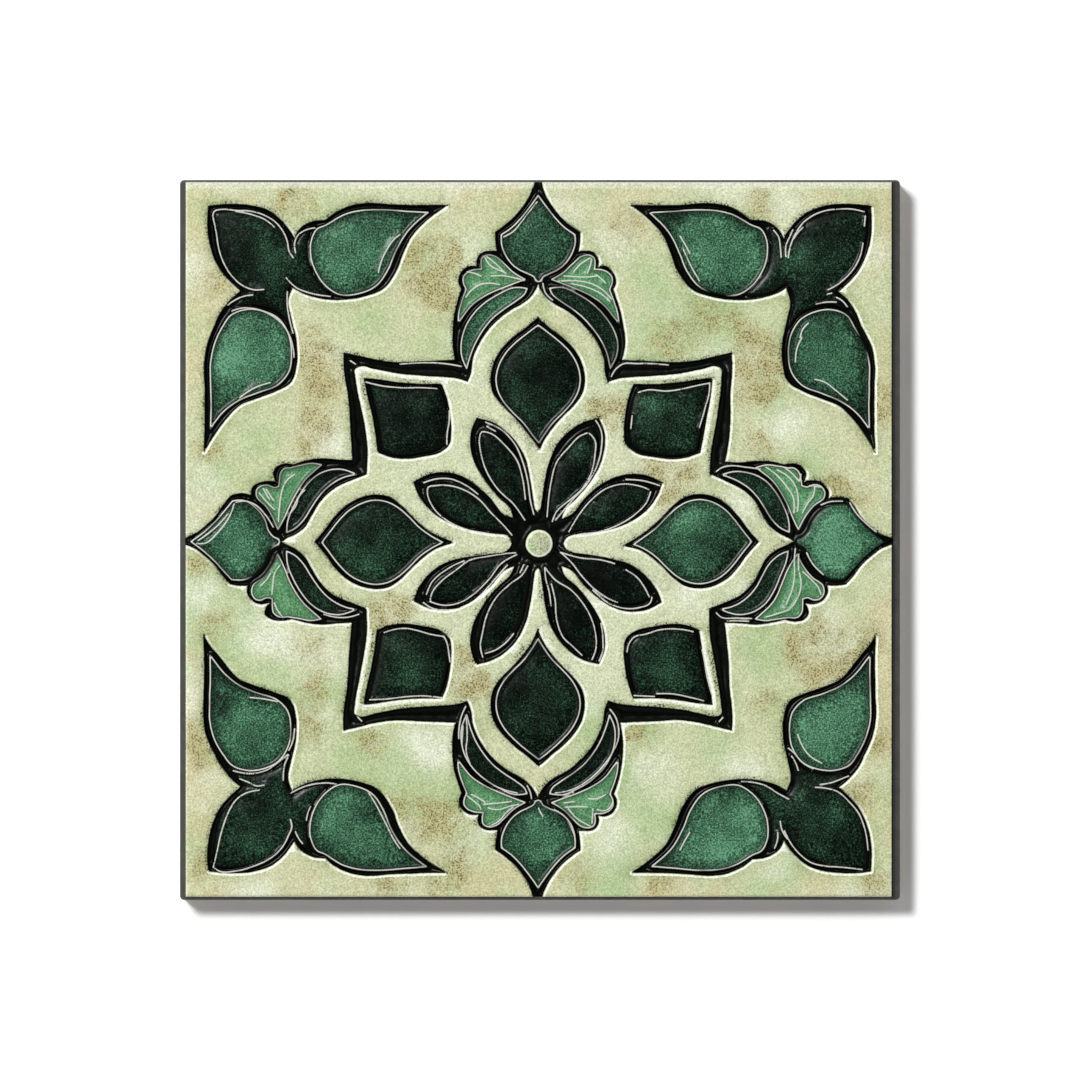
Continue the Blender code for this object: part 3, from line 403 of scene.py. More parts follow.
FRESH_SPOTS: tuple[Point, ...] = (
    (-72.7, 68.4), (-35.6, 46.6), (-6.3, 71.6), (-21.5, 40.2), (21.2, 57.5), (25.8, 51.2), (34.2, 73.4),
    (56.8, 15.9), (45.9, -20.1), (-59.6, 20.5), (-73.4, -26.8), (-73.7, -61.7), (-40.2, -45.9),
    (-36.7, -48), (-56.1, -26.8), (15.5, -72.7), (22.2, -60), (22.2, -40.2), (48, -25.4),
    (38.1, -44.4), (32.1, -72), (26.8, -60.7), (52.9, -68.8), (73, 40), (50, 30),
)


# Each kind of spot on the field, and how far it spreads in millimetres.
FIELD_SPOTS: dict[str, tuple[tuple[Point, ...], float]] = {
    "brown": (BROWN_SPOTS, 4.1), "bloom": (BLOOM_SPOTS, 4.8), "fresh": (FRESH_SPOTS, 4.6),
}

# Profiles across an edge: the distance from it and the height under the top of the field, in millimetres.
GROUND = -1.1
FIELD_WALL: tuple[Point, ...] = ((-0.5, 0), (-0.22, -0.06), (0, -0.3), (0.25, GROUND))
CELL_BED: tuple[Point, ...] = ((1.2, -0.5), (2.4, -0.36), (5.0, -0.26))
BORDERED_CELL: tuple[Point, ...] = ((-0.45, GROUND), (-0.16, -0.22), (0.16, -0.2), (0.42, -0.62), *CELL_BED)
PLAIN_CELL: tuple[Point, ...] = ((-0.45, GROUND), (-0.16, -0.86), (0.16, -0.7), (0.42, -0.6), *CELL_BED)
THREAD_RIDGE: tuple[Point, ...] = ((0.16, -0.22), (0.42, GROUND))


class Layout(Enum):
    """How an outline is repeated about the centre."""

    QUARTERS = "four mirrored copies: upper right, lower right, lower left, upper left"
    UPRIGHT = "halves on the upright axis: top, bottom"
    SIDEWAYS = "halves on the level axis: right, left"


class Glaze(Enum):
    """The glaze that fills a cell."""

    BOTTLE = 0.0
    PALMETTE = 1.0


@dataclass(frozen=True)
class CellKind:
    """One kind of glazed cell, with the greenness of each of its copies from 0, near black, to 1.

    The pale lines of a trailed copy are among the threads, and it has no border of its own.
    """

    outline: Stretches
    layout: Layout
    tones: tuple[float, ...]
    glaze: Glaze = Glaze.BOTTLE
    on_spray: bool = False
    trailed: tuple[int, ...] = ()


ALL_FOUR = (0, 1, 2, 3)
CELL_KINDS: dict[str, CellKind] = {
    "petal_a": CellKind(PETAL_A_CELL, Layout.QUARTERS, (0.10, 0.05, 0.04, 0.12), trailed=ALL_FOUR),
    "petal_b": CellKind(PETAL_B_CELL, Layout.QUARTERS, (0.12, 0.03, 0.10, 0.16), trailed=ALL_FOUR),
    "drop": CellKind(DROP_CELL, Layout.UPRIGHT, (0.16, 0.12)),
    "side_drop": CellKind(([(v, u) for u, v in DROP_CELL[0]],), Layout.SIDEWAYS, (0.54, 0.19)),
    "kite": CellKind(KITE_CELL, Layout.QUARTERS, (0.20, 0.18, 0.10, 0.08), trailed=ALL_FOUR),
    "sepal": CellKind(SEPAL_CELL, Layout.QUARTERS, (0.24, 0.16, 0.12, 0.80)),
    "side_sepal": CellKind(SIDE_SEPAL_CELL, Layout.QUARTERS, (0.26, 0.40, 0.16, 0.14)),
    "palmette": CellKind(PALMETTE_CELL, Layout.QUARTERS, (0.9, 0.9, 0.9, 0.9), Glaze.PALMETTE),
    "side_palmette": CellKind(SIDE_PALMETTE_CELL, Layout.QUARTERS, (0.9, 0.9, 0.9, 0.9), Glaze.PALMETTE),
    "finial": CellKind(FINIAL_CELL, Layout.UPRIGHT, (0.54, 0.64)),
    "side_finial": CellKind(SIDE_FINIAL_CELL, Layout.SIDEWAYS, (0.88, 0.66), trailed=(0,)),
    "leaf": CellKind(LEAF_CELL, Layout.QUARTERS, (0.65, 0.75, 0.60, 0.65), on_spray=True),
    "side_leaf": CellKind(SIDE_LEAF_CELL, Layout.QUARTERS, (0.53, 0.70, 0.55, 0.71), on_spray=True),
    "tip": CellKind(TIP_CELL, Layout.QUARTERS, (0.20, 0.24, 0.22, 0.14), on_spray=True, trailed=ALL_FOUR),
}


def smooth_stretch(points: np.ndarray, spacing: float) -> np.ndarray:
    """A smooth curve through the points, cut into equal steps.

    Between two points the curve is a cubic: the chord, eased by 3s^2 - 2s^3, plus a bow that leaves and
    arrives along the tangents. A tangent is the mean of the two chords there, each weighted by the other's
    length.

    Args:
        points: The points of one stretch, in millimetres.
        spacing: The longest step.

    Returns:
        The points of the cut curve, with both ends kept.
    """
    points = np.asarray(points, float)
    steps = np.diff(points, axis=0)
    lengths = np.linalg.norm(steps, axis=1)
    directions = steps / lengths[:, None]
    tangents = np.empty_like(points)
    share = (lengths[:-1] / (lengths[:-1] + lengths[1:]))[:, None]
    tangents[1:-1] = directions[:-1] * (1 - share) + directions[1:] * share
    if len(points) > 2:
        tangents[0] = 1.5 * directions[0] - 0.5 * tangents[1]
        tangents[-1] = 1.5 * directions[-1] - 0.5 * tangents[-2]
    else:
        tangents[:] = directions[0]
    s = np.linspace(0, 1, 17)[None, :-1, None]
    bow = s * (1 - s) ** 2 * tangents[:-1, None] - s * s * (1 - s) * tangents[1:, None]
    curve = points[:-1, None] + steps[:, None] * (s * s * (3 - 2 * s)) + bow * lengths[:, None, None]
    curve = np.concatenate([curve.reshape(-1, 2), points[-1:]])
    run = np.concatenate([[0.0], np.cumsum(np.linalg.norm(np.diff(curve, axis=0), axis=1))])
    stops = np.linspace(0, run[-1], max(1, math.ceil(run[-1] / spacing)) + 1)
    return np.stack([np.interp(stops, run, curve[:, axis]) for axis in (0, 1)], axis=1)


def outline(stretches: Stretches, spacing: float) -> np.ndarray:
    """Smooth stretches joined end to end, with a corner at each joint.

    Args:
        stretches: The stretches, of which each after the first leaves out the point where it starts.
        spacing: The longest step.

    Returns:
        The points of the whole line.
    """
    curve = smooth_stretch(stretches[0], spacing)
    for stretch in stretches[1:]:
        tail = smooth_stretch([tuple(curve[-1])] + list(stretch), spacing)[1:]
        curve = np.concatenate([curve, tail])
    return curve


def quarters(curve: np.ndarray) -> list[np.ndarray]:
    """The outline of a quarter and its three mirror images, in turn around the centre."""
    return [curve, curve[::-1] * (1, -1), curve * (-1, -1), (curve * (-1, 1))[::-1]]


def joined(*stretch_sets: Stretches) -> Stretches:
    """Several sets of stretches as one outline.

    Args:
        stretch_sets: The sets, each of which starts where the one before it ends.

    Returns:
        All their stretches, without the points that are there twice.
    """
    stretches = list(stretch_sets[0])
    for group in stretch_sets[1:]:
        stretches.append(group[0][1:])
        stretches.extend(group[1:])
    return tuple(stretches)


def repeated(stretches: Stretches, layout: Layout, spacing: float) -> list[np.ndarray]:
    """Closed loops of an outline in each of its places.

    Args:
        stretches: The outline in the upper right quarter, or half of one that crosses an axis.
        layout: Where its copies go.
        spacing: The longest step along it.

    Returns:
        One closed loop for each copy, without its first point repeated.
    """
    curve = outline(stretches, spacing)
    if layout is Layout.QUARTERS:
        return [part[:-1] for part in quarters(curve)]
    flip = (-1, 1) if layout is Layout.UPRIGHT else (1, -1)
    loop = np.concatenate([curve, curve[-2:0:-1] * flip])
    return [loop, -loop]


def ring(stretches: Stretches, spacing: float) -> np.ndarray:
    """One closed loop from a quarter that runs from the upright axis to the level one."""
    return np.concatenate([part[:-1] for part in quarters(outline(stretches, spacing))])


def drawn_by_hand(loop: np.ndarray, centre: Point) -> np.ndarray:
    """The loop pushed by each hand shift, which fades as a bell curve of the distance, and placed.

    Args:
        loop: An outline drawn about its own centre.
        centre: Where that centre is on the tile.

    Returns:
        The moved points.
    """
    moved = np.array(loop)
    for place, shift, reach in HAND_SHIFTS:
        distance = np.linalg.norm(loop - place, axis=1)
        moved = moved + np.exp(-(distance / reach) ** 2)[:, None] * shift
    return moved + centre


def segments(loops: list[np.ndarray], closed: bool = True) -> tuple[np.ndarray, np.ndarray]:
    """Every step along some loops or lines.

    Args:
        loops: The loops, or the lines.
        closed: Whether the last point is joined to the first.

    Returns:
        The starts and the ends of the steps.
    """
    starts = [loop if closed else loop[:-1] for loop in loops]
    ends = [np.roll(loop, -1, axis=0) if closed else loop[1:] for loop in loops]
    return np.concatenate(starts), np.concatenate(ends)


def nearest_step(points: np.ndarray, starts: np.ndarray, ends: np.ndarray, reach: float,
                 block: float = 5.0) -> tuple[np.ndarray, np.ndarray]:
    """How far each point is from the nearest of some steps, worked out in square blocks.

    The distance is to the foot of the perpendicular on the step, kept between the step's ends.

    Args:
        points: The points, in millimetres.
        starts: The start of each step.
        ends: The end of each step.
        reach: Distances past this are not looked for, and are given as the reach.
        block: The side of a block.

    Returns:
        The distances, and the index of the nearest step of each point.
    """
    distance = np.full(len(points), float(reach))
    nearest = np.zeros(len(points), int)
    keys = np.floor(points / block).astype(int)
    order = np.lexsort((keys[:, 1], keys[:, 0]))
    cuts = np.flatnonzero(np.any(np.diff(keys[order], axis=0) != 0, axis=1)) + 1
    low, high = np.minimum(starts, ends), np.maximum(starts, ends)
    for chosen in np.split(order, cuts):
        corner = keys[chosen[0]] * block
        near = np.flatnonzero(np.all((high >= corner - reach) & (low <= corner + block + reach), axis=1))
        if not len(near):
            continue
        along = ends[near] - starts[near]
        away = points[chosen][:, None] - starts[near][None]
        share = np.clip(np.sum(away * along, axis=2) / np.sum(along * along, axis=1), 0, 1)
        gap = np.linalg.norm(away - share[..., None] * along, axis=2)
        best = gap.argmin(axis=1)
        distance[chosen] = np.minimum(gap[np.arange(len(chosen)), best], reach)
        nearest[chosen] = near[best]
    return distance, nearest


def is_inside(points: np.ndarray, loops: list[np.ndarray], strip: float = 1.5) -> np.ndarray:
    """Whether a ray to the right of each point crosses the loops an odd number of times.

    Args:
        points: The points, in millimetres.
        loops: The closed loops.
        strip: The height of the level strips in which the points are worked out together.

    Returns:
        True for each point inside.
    """
    starts, ends = segments(loops)
    inside = np.zeros(len(points), bool)
    rows = np.floor(points[:, 1] / strip).astype(int)
    order = np.argsort(rows, kind="stable")
    cuts = np.flatnonzero(np.diff(rows[order])) + 1
    low, high = np.minimum(starts[:, 1], ends[:, 1]), np.maximum(starts[:, 1], ends[:, 1])
    for chosen in np.split(order, cuts):
        floor = rows[chosen[0]] * strip
        near = np.flatnonzero((high >= floor) & (low <= floor + strip))
        if not len(near):
            continue
        x, y = points[chosen, 0, None], points[chosen, 1, None]
        (x0, y0), (x1, y1) = starts[near].T, ends[near].T
        crosses = (y0 <= y) != (y1 <= y)
        rise = np.where(y1 == y0, 1.0, y1 - y0)
        inside[chosen] = np.sum(crosses & (x0 + (y - y0) * (x1 - x0) / rise > x), axis=1) % 2 == 1
    return inside


def beside(loop: np.ndarray, offset: float, fan: float = 0.5) -> np.ndarray:
    """Points at a set distance to the left of a closed loop, fanned out around its corners.

    Each point is moved along the normal, whose angle turns in equal parts from that of the step before
    to that of the step after.

    Args:
        loop: The closed loop.
        offset: The distance, to the left if positive.
        fan: The widest angle between two points of a fan, in radians.

    Returns:
        The moved points.
    """
    before = loop - np.roll(loop, 1, axis=0)
    after = np.roll(loop, -1, axis=0) - loop
    heading = np.arctan2(before[:, 1], before[:, 0])
    turn = (np.arctan2(after[:, 1], after[:, 0]) - heading + math.pi) % (2 * math.pi) - math.pi
    count = np.maximum(1, np.ceil(np.abs(turn) / fan)).astype(int)
    index = np.repeat(np.arange(len(loop)), count)
    rank = np.arange(len(index)) - np.repeat(np.cumsum(count) - count, count)
    angle = heading[index] + turn[index] * (rank + 0.5) / count[index]
    return loop[index] + offset * np.stack([-np.sin(angle), np.cos(angle)], axis=1)


def bells(points: np.ndarray, spots: tuple[tuple[Point, float, float], ...]) -> np.ndarray:
    """The sum of bell-shaped spots: each strength times exp(-(distance / reach)^2).

    Args:
        points: The points, in millimetres.
        spots: The place, the strength and the reach of each spot.

    Returns:
        The sum at each point.
    """
    total = np.zeros(len(points))
    for place, strength, reach in spots:
        total += strength * np.exp(-np.sum((points - place) ** 2, axis=1) / reach ** 2)
    return total


def ramp(value: np.ndarray, stops: tuple[Point, ...]) -> np.ndarray:
    """A profile that runs straight between its stops, each a distance and a height."""
    places, heights = np.array(stops).T
    return np.interp(value, places, heights)


@dataclass
class Drawing:
    """The drawing of the relief: what is sunk, the cells that stand in it, and the trailed threads."""

    spacing: float = 0.42
    thread_spacing: float = 0.5
    sunk: list[np.ndarray] = field(default_factory=list)
    cells: list[np.ndarray] = field(default_factory=list)
    tones: list[float] = field(default_factory=list)
    glazes: list[Glaze] = field(default_factory=list)
    bordered: list[bool] = field(default_factory=list)
    threads: list[np.ndarray] = field(default_factory=list)

    def __post_init__(self) -> None:
        """Lay out every outline and thread."""
        self.lay_out_sunk()
        self.lay_out_cells()
        self.threads = [smooth_stretch(stroke, self.thread_spacing) for stroke in THREADS]

    def lay_out_sunk(self) -> None:
        """The star band with its arms, the star of field in it, the rosette, the drops, kites and sprays."""
        arms = joined(ARM_OUTSIDE, STAR_OUTSIDE, SIDE_ARM_OUTSIDE)
        star = joined((ARM_INSIDE[0],), STAR_INSIDE, SIDE_ARM_INSIDE)
        side_drop = ([(v, u) for u, v in DROP[0]],)
        ornament = [np.concatenate(quarters(outline(arms, self.spacing)))]
        ornament += [ring(star, self.spacing), ring(PETAL_A + PETAL_B, self.spacing)]
        ornament += repeated(DROP, Layout.UPRIGHT, self.spacing)
        ornament += repeated(side_drop, Layout.SIDEWAYS, self.spacing)
        ornament += repeated(KITE, Layout.QUARTERS, self.spacing)
        self.sunk = [drawn_by_hand(loop, ORNAMENT_CENTRE) for loop in ornament]
        self.sunk += [drawn_by_hand(loop, SPRAY_CENTRE)
                      for loop in repeated(SPRAY, Layout.QUARTERS, self.spacing)]

    def lay_out_cells(self) -> None:
        """The edge, the greenness, the glaze and the border of every cell."""
        for kind in CELL_KINDS.values():
            centre = SPRAY_CENTRE if kind.on_spray else ORNAMENT_CENTRE
            loops = repeated(kind.outline, kind.layout, self.spacing)
            for copy, (loop, tone) in enumerate(zip(loops, kind.tones)):
                self.cells.append(drawn_by_hand(loop, centre))
                self.tones.append(tone)
                self.glazes.append(kind.glaze)
                self.bordered.append(copy not in kind.trailed)

    def sunk_distance(self, points: np.ndarray, reach: float) -> tuple[np.ndarray, np.ndarray]:
        """How far each point is from the field's edge.

        Args:
            points: The points, in millimetres.
            reach: The longest distance looked for.

        Returns:
            The distances, positive where the face is sunk, and the heading of the edge nearest to each.
        """
        starts, ends = segments(self.sunk)
        distance, nearest = nearest_step(points, starts, ends, reach)
        along = ends[nearest] - starts[nearest]
        signed = np.where(is_inside(points, self.sunk), distance, -distance)
        return signed, np.arctan2(along[:, 1], along[:, 0])

    def cell_distance(self, points: np.ndarray, reach: float) -> tuple[np.ndarray, np.ndarray]:
        """How far each point is from the edge of the nearest cell.

        Args:
            points: The points, in millimetres.
            reach: The longest distance looked for.

        Returns:
            The distances, positive inside a cell, and 1 where the nearest edge has a border.
        """
        distance, nearest = nearest_step(points, *segments(self.cells), reach)
        border = np.repeat(np.array(self.bordered, float), [len(loop) for loop in self.cells])[nearest]
        return np.where(is_inside(points, self.cells), distance, -distance), border

    def thread_distance(self, points: np.ndarray, reach: float) -> np.ndarray:
        """Distance to the middle of the nearest thread."""
        return nearest_step(points, *segments(self.threads, closed=False), reach)[0]

    def beside_threads(self, offset: float) -> np.ndarray:
        """Points on both sides of every thread, moved along its normal.

        Args:
            offset: How far from the middle of the thread.

        Returns:
            Those of the points that no other thread is nearer to.
        """
        sides = []
        for stroke in self.threads:
            along = np.gradient(stroke, axis=0)
            normal = np.stack([-along[:, 1], along[:, 0]], axis=1) / np.linalg.norm(along, axis=1)[:, None]
            sides += [stroke + normal * offset, stroke - normal * offset]
        points = np.concatenate(sides)
        return points[self.thread_distance(points, offset + 0.1) > offset - 0.03]


@dataclass
class TileFace:
    """The glazed tile: its relief face, its sides and its back, as one closed skin."""

    drawing: Drawing
    size: float = 152.4
    thickness: float = 9.5
    corner_radius: float = 0.9
    back_chamfer: float = 0.6
    rim_drop: float = 1.3
    rim_rounding: float = 0.5
    field_size: Point = (149.7, 151.0)
    field_centre: Point = (-0.15, 0.1)
    boss_centre: Point = (-0.2, -0.75)
    boss_radius: float = 3.0
    boss_foot: float = -0.62
    boss_skirt: float = 0.2
    boss_skirt_slope: float = 2.4
    dome_rise: float = 1.0
    dome_radius: float = 3.4
    wave_height: float = 0.02
    wave_drop: float = 0.04
    side_steps: int = 120
    side_bands: int = 4
    corner_steps: int = 5
    fill_step: float = 1.7
    edge_step: float = 0.42
    rim_step: float = 0.009
    merge_step: float = 0.15
    ring_tolerance: float = 0.03
    clear_of_edges: float = 1.0
    clear_of_lines: float = 0.8
    outer_margin: float = 0.2
    reach: float = 6.0
    ground_tone: float = 0.05
    gap_strength: float = 1.6
    gap_start: float = 1.3
    nudge: float = 0.02
    field_rings: tuple[float, ...] = (-0.5, -0.22, 0.0, 0.25)
    cell_rings: tuple[float, ...] = (-0.45, -0.16, 0.16, 0.42, 1.2)
    rim_rings: tuple[float, ...] = (-0.42, -0.18, 0.0, 0.22)
    boss_rings: tuple[float, ...] = (-2.4, -1.6, -0.8, -0.45, -0.2, 0.0, 0.2)
    thread_rings: tuple[float, ...] = (0.16, 0.42)
    first_side_face: int = 0
    first_back_face: int = 0

    def rounded_square(self, inset: float) -> np.ndarray:
        """Points around the tile's plan: straight sides and quarter circles, turned about the middle.

        Args:
            inset: How far in from the side of the tile.

        Returns:
            The points, counterclockwise, as many for any inset.
        """
        half, radius = self.size / 2 - inset, max(self.corner_radius - inset * 0.2, 0.2)
        turn = np.linspace(0, math.pi / 2, self.corner_steps)
        corner = half - radius + radius * np.stack([np.cos(turn), np.sin(turn)], axis=1)
        straight = np.linspace(half - radius, radius - half, self.side_steps + 1)[1:-1]
        side = np.stack([straight, np.full_like(straight, half)], axis=1)
        quarter = np.concatenate([corner, side])
        spin = [np.array([[c, s], [-s, c]]) for c, s in ((1, 0), (0, 1), (-1, 0), (0, -1))]
        return np.concatenate([quarter @ matrix for matrix in spin])

    def rim_distance(self, points: np.ndarray) -> np.ndarray:
        """Distance past the raised field's square, positive on the rim, as for a box with no rounding."""
        over = np.abs(points - self.field_centre) - np.array(self.field_size) / 2
        return np.minimum(over.max(axis=1), 0) + np.linalg.norm(np.maximum(over, 0), axis=1)

    def boss_distance(self, points: np.ndarray) -> np.ndarray:
        """Distance past the edge of the round boss, negative on it."""
        return np.linalg.norm(points - self.boss_centre, axis=1) - self.boss_radius

    def scattered(self) -> np.ndarray:
        """The plan's points: on lines beside every edge and thread, and spread out thinly between them.

        Returns:
            The points in millimetres, with those of the outer edge first.
        """
        drawing = self.drawing
        edge = self.rounded_square(self.rim_rounding / 2)
        kept = [edge, *drawing.threads] + [drawing.beside_threads(offset) for offset in self.thread_rings]
        for rings, loops, distance in ((self.field_rings, drawing.sunk, drawing.sunk_distance),
                                       (self.cell_rings, drawing.cells, drawing.cell_distance)):
            for offset in rings:
                points = np.concatenate([beside(loop, side) for loop in loops for side in {offset, -offset}])
                gap = distance(points, abs(offset) + 0.1)[0]
                kept.append(points[np.abs(gap - offset) < self.ring_tolerance])
        half = np.array(self.field_size) / 2
        along = np.arange(-1, 1, self.rim_step)
        for offset in self.rim_rings:
            for sign in (-1, 1):
                upright = np.stack([np.full_like(along, sign), along], axis=1)
                kept += [upright * (half + offset) + self.field_centre,
                         upright[:, ::-1] * (half + offset) + self.field_centre]
        for offset in self.boss_rings:
            angle = np.arange(0, 2 * math.pi, self.edge_step / (self.boss_radius + offset))
            circle = np.stack([np.cos(angle), np.sin(angle)], axis=1) * (self.boss_radius + offset)
            kept.append(circle + self.boss_centre)
        steps = np.arange(-self.size / 2, self.size / 2, self.fill_step)
        grid = np.stack(np.meshgrid(steps, steps), axis=-1)
        grid[1::2, :, 0] += self.fill_step / 2
        grid = grid.reshape(-1, 2)
        near = 2 * self.clear_of_edges
        clear = np.abs(drawing.sunk_distance(grid, near)[0]) > self.clear_of_edges
        clear &= np.abs(drawing.cell_distance(grid, near)[0]) > self.clear_of_edges
        clear &= drawing.thread_distance(grid, near) > self.clear_of_lines
        clear &= np.abs(self.rim_distance(grid)) > self.clear_of_lines
        kept.append(grid[clear])
        points = np.concatenate(kept)
        limit = self.size / 2 - self.rim_rounding / 2 - self.outer_margin
        within = np.all(np.abs(points) < limit, axis=1)
        within[:len(edge)] = True
        points = points[within]
        _, first = np.unique(np.round(points / self.merge_step).astype(int), axis=0, return_index=True)
        chosen = np.union1d(np.arange(len(edge)), first)
        return points[chosen]

    def relief(self, points: np.ndarray, facts: dict[str, np.ndarray]) -> np.ndarray:
        """Height of the face over each point of the plan.

        The field has a rounded edge and a steep wall down to the ground. Each cell has a narrow raised
        border, or a plain rounded edge where its lines are trailed, a groove inside it, and a glaze that
        swells towards the middle. A thread is a narrow ridge. The boss is part of a circle in section.
        The highest of these is taken, and it is cut down to the rim outside the field.

        Args:
            points: Points of the plan, in millimetres.
            facts: The distances at each point, as attributes() gives them.

        Returns:
            The heights in millimetres.
        """
        top = self.thickness
        x, y = points.T
        cell, border = facts["cell"], facts["border"]
        waves = np.sin(x / 9.0 + 1.3) * np.cos(y / 11.0) + np.sin(x / 5.3 - y / 6.1)
        swell = self.wave_height * waves - self.wave_drop
        field_height = top + swell + ramp(facts["sunk"], FIELD_WALL)
        ridged, plain = ramp(cell, BORDERED_CELL), ramp(cell, PLAIN_CELL)
        cell_height = top + plain + (ridged - plain) * border
        thread_height = top + ramp(facts["thread"], THREAD_RIDGE)
        boss = facts["boss"]
        out = np.maximum(boss + self.boss_radius, 0) / self.dome_radius
        dome = top + self.boss_foot + self.dome_rise * np.sqrt(np.clip(1 - out ** 2, 0, 1))
        skirt = top + GROUND + (self.boss_skirt - boss) * self.boss_skirt_slope
        boss_height = np.where(boss < 0, dome, np.minimum(skirt, dome))
        boss_height = np.where(boss < self.boss_skirt, boss_height, 0.0)
        height = np.maximum.reduce([field_height, cell_height, thread_height, boss_height])
        rim = facts["rim"]
        limit = top + ramp(rim, tuple(zip(self.rim_rings, (0.0, -0.08, -0.35, -self.rim_drop))))
        return np.where(rim > self.rim_rings[0], np.minimum(height, limit), height)

    def attributes(self, points: np.ndarray) -> dict[str, np.ndarray]:
        """What the finishes read at each point: distances in millimetres, greenness, stains, and how squarely
        the nearest edge of the field faces the lamp, which places the painted light and shade.

        Args:
            points: Points of the plan, in millimetres.

        Returns:
            The values of each attribute, by its name.
        """
        sunk, heading = self.drawing.sunk_distance(points, self.reach)
        cell, border = self.drawing.cell_distance(points, self.reach)
        tone, palmette = np.full(len(points), self.ground_tone), np.zeros(len(points))
        for loop, level, glaze in zip(self.drawing.cells, self.drawing.tones, self.drawing.glazes):
            box = np.all((points >= loop.min(axis=0)) & (points <= loop.max(axis=0)), axis=1)
            chosen = np.flatnonzero(box)
            chosen = chosen[is_inside(points[chosen], [loop])]
            tone[chosen], palmette[chosen] = level, glaze.value
        # How squarely the nearest edge of the field faces the lamp at the upper left: the painted highlights
        # and painted shade along the field's edges follow it.
        facing = np.cos(heading + math.pi / 2 - LIGHT_HEADING)
        facing = np.where(self.left_is_sunk(points, heading), facing, -facing)
        gaps = bells(points, tuple((place, self.gap_strength, reach) for place, reach in BORDER_GAPS))
        stains = {name: np.minimum(bells(points, tuple((place, 1.0, reach) for place in places)), 1.0)
                  for name, (places, reach) in FIELD_SPOTS.items()}
        return {
            "sunk": sunk,
            "cell": cell,
            "border": border * np.clip(self.gap_start - gaps, 0, 1),
            "thread": self.drawing.thread_distance(points, self.reach / 2),
            "tone": np.clip(tone + bells(points, GREEN_SPOTS), 0, 1),
            "palmette": palmette,
            "facing": facing,
            "rim": self.rim_distance(points),
            "boss": self.boss_distance(points),
            **stains,
        }

    def left_is_sunk(self, points: np.ndarray, heading: np.ndarray) -> np.ndarray:
        """Whether the ground is to the left of the nearest step of the field's edge.

        Args:
            points: Points of the plan, in millimetres.
            heading: The heading of the step nearest to each.

        Returns:
            True where it is, found just beside the middle of the step.
        """
        starts, ends = segments(self.drawing.sunk)
        _, nearest = nearest_step(points, starts, ends, self.reach)
        middle = (starts[nearest] + ends[nearest]) / 2
        left = np.stack([-np.sin(heading), np.cos(heading)], axis=1)
        return is_inside(middle + left * self.nudge, self.drawing.sunk)

    def build(self) -> bpy.types.Object:
        """Make the closed skin and store the attributes that its finishes read.

        Returns:
            The tile, whose faces are the relief first, then the sides and then the back.
        """
        plan = self.scattered()
        corners, _, faces, *_ = delaunay_2d_cdt([Vector(p) for p in plan.tolist()], [], [], 0, 1e-6)
        plan = np.array([tuple(p) for p in corners])
        faces = np.array([tuple(f) for f in faces])
        a, b, c = plan[faces[:, 0]], plan[faces[:, 1]], plan[faces[:, 2]]
        area = (b - a)[:, 0] * (c - a)[:, 1] - (b - a)[:, 1] * (c - a)[:, 0]
        faces = np.where(area[:, None] < 0, faces[:, ::-1], faces)[np.abs(area) > 1e-9]
        facts = self.attributes(plan)
        height = self.relief(plan, facts)
        edge = self.rounded_square(self.rim_rounding / 2)
        rim = self.thickness - self.rim_drop
        height[:len(edge)] = rim
        top = np.column_stack([plan, height])
        side = ((0.07, rim - 0.18), (0.0, rim - self.rim_rounding), (0.0, rim / 2), (0.0, self.back_chamfer))
        back = tuple((inset, 0.0) for inset in (self.back_chamfer, 4.0, 16.0, 36.0, 58.0))
        levels = side + back
        rings = [np.column_stack([self.rounded_square(inset), np.full(len(edge), z)]) for inset, z in levels]
        vertices = np.concatenate([top, *rings, [[0.0, 0.0, 0.0]]])
        around = np.arange(len(edge))
        beyond = np.roll(around, -1)
        base = [around * 0] + [np.full(len(edge), len(top) + k * len(edge)) for k in range(len(levels))]
        triangles = [faces]
        for upper, lower in zip(base, base[1:]):
            triangles.append(np.column_stack([upper + around, lower + around, lower + beyond]))
            triangles.append(np.column_stack([upper + around, lower + beyond, upper + beyond]))
        centre = np.full(len(edge), len(vertices) - 1)
        triangles.append(np.column_stack([base[-1] + around, centre, base[-1] + beyond]))
        triangles = np.concatenate(triangles)
        mesh = bpy.data.meshes.new("tile_skin")
        mesh.from_pydata(vertices * MM, [], triangles.tolist())
        rest = len(vertices) - len(top)
        for name, values in facts.items():
            attribute = mesh.attributes.new(name, "FLOAT", "POINT")
            values = np.concatenate([values, np.zeros(rest)])
            attribute.data.foreach_set("value", values.astype(np.float32))
        mesh.update()
        mesh.validate()
        tile = bpy.data.objects.new("relief_tile", mesh)
        bpy.context.scene.collection.objects.link(tile)
        mesh.shade_smooth()
        self.first_side_face = len(faces)
        self.first_back_face = len(faces) + 2 * self.side_bands * len(edge)
        return tile


# The heading of the lamp, which the painted highlights and painted shade along the field's edges follow too.
LIGHT_HEADING = math.radians(135.0)
LIGHT_LEVEL = 1.2

VECTOR, VALUE = "NodeSocketVector", "NodeSocketFloat"


def linear(level: float) -> float:
    """A display level of 0 to 255 as linear light: ((c + 0.055) / 1.055) ^ 2.4, or c / 12.92 when dark."""
    share = level / 255
    return share / 12.92 if share <= 0.04045 else ((share + 0.055) / 1.055) ** 2.4


def shown(red: float, green: float, blue: float) -> tuple[float, float, float, float]:
    """The reflectance that shows as a display colour in the studio's light."""
    return linear(red) / LIGHT_LEVEL, linear(green) / LIGHT_LEVEL, linear(blue) / LIGHT_LEVEL, 1.0


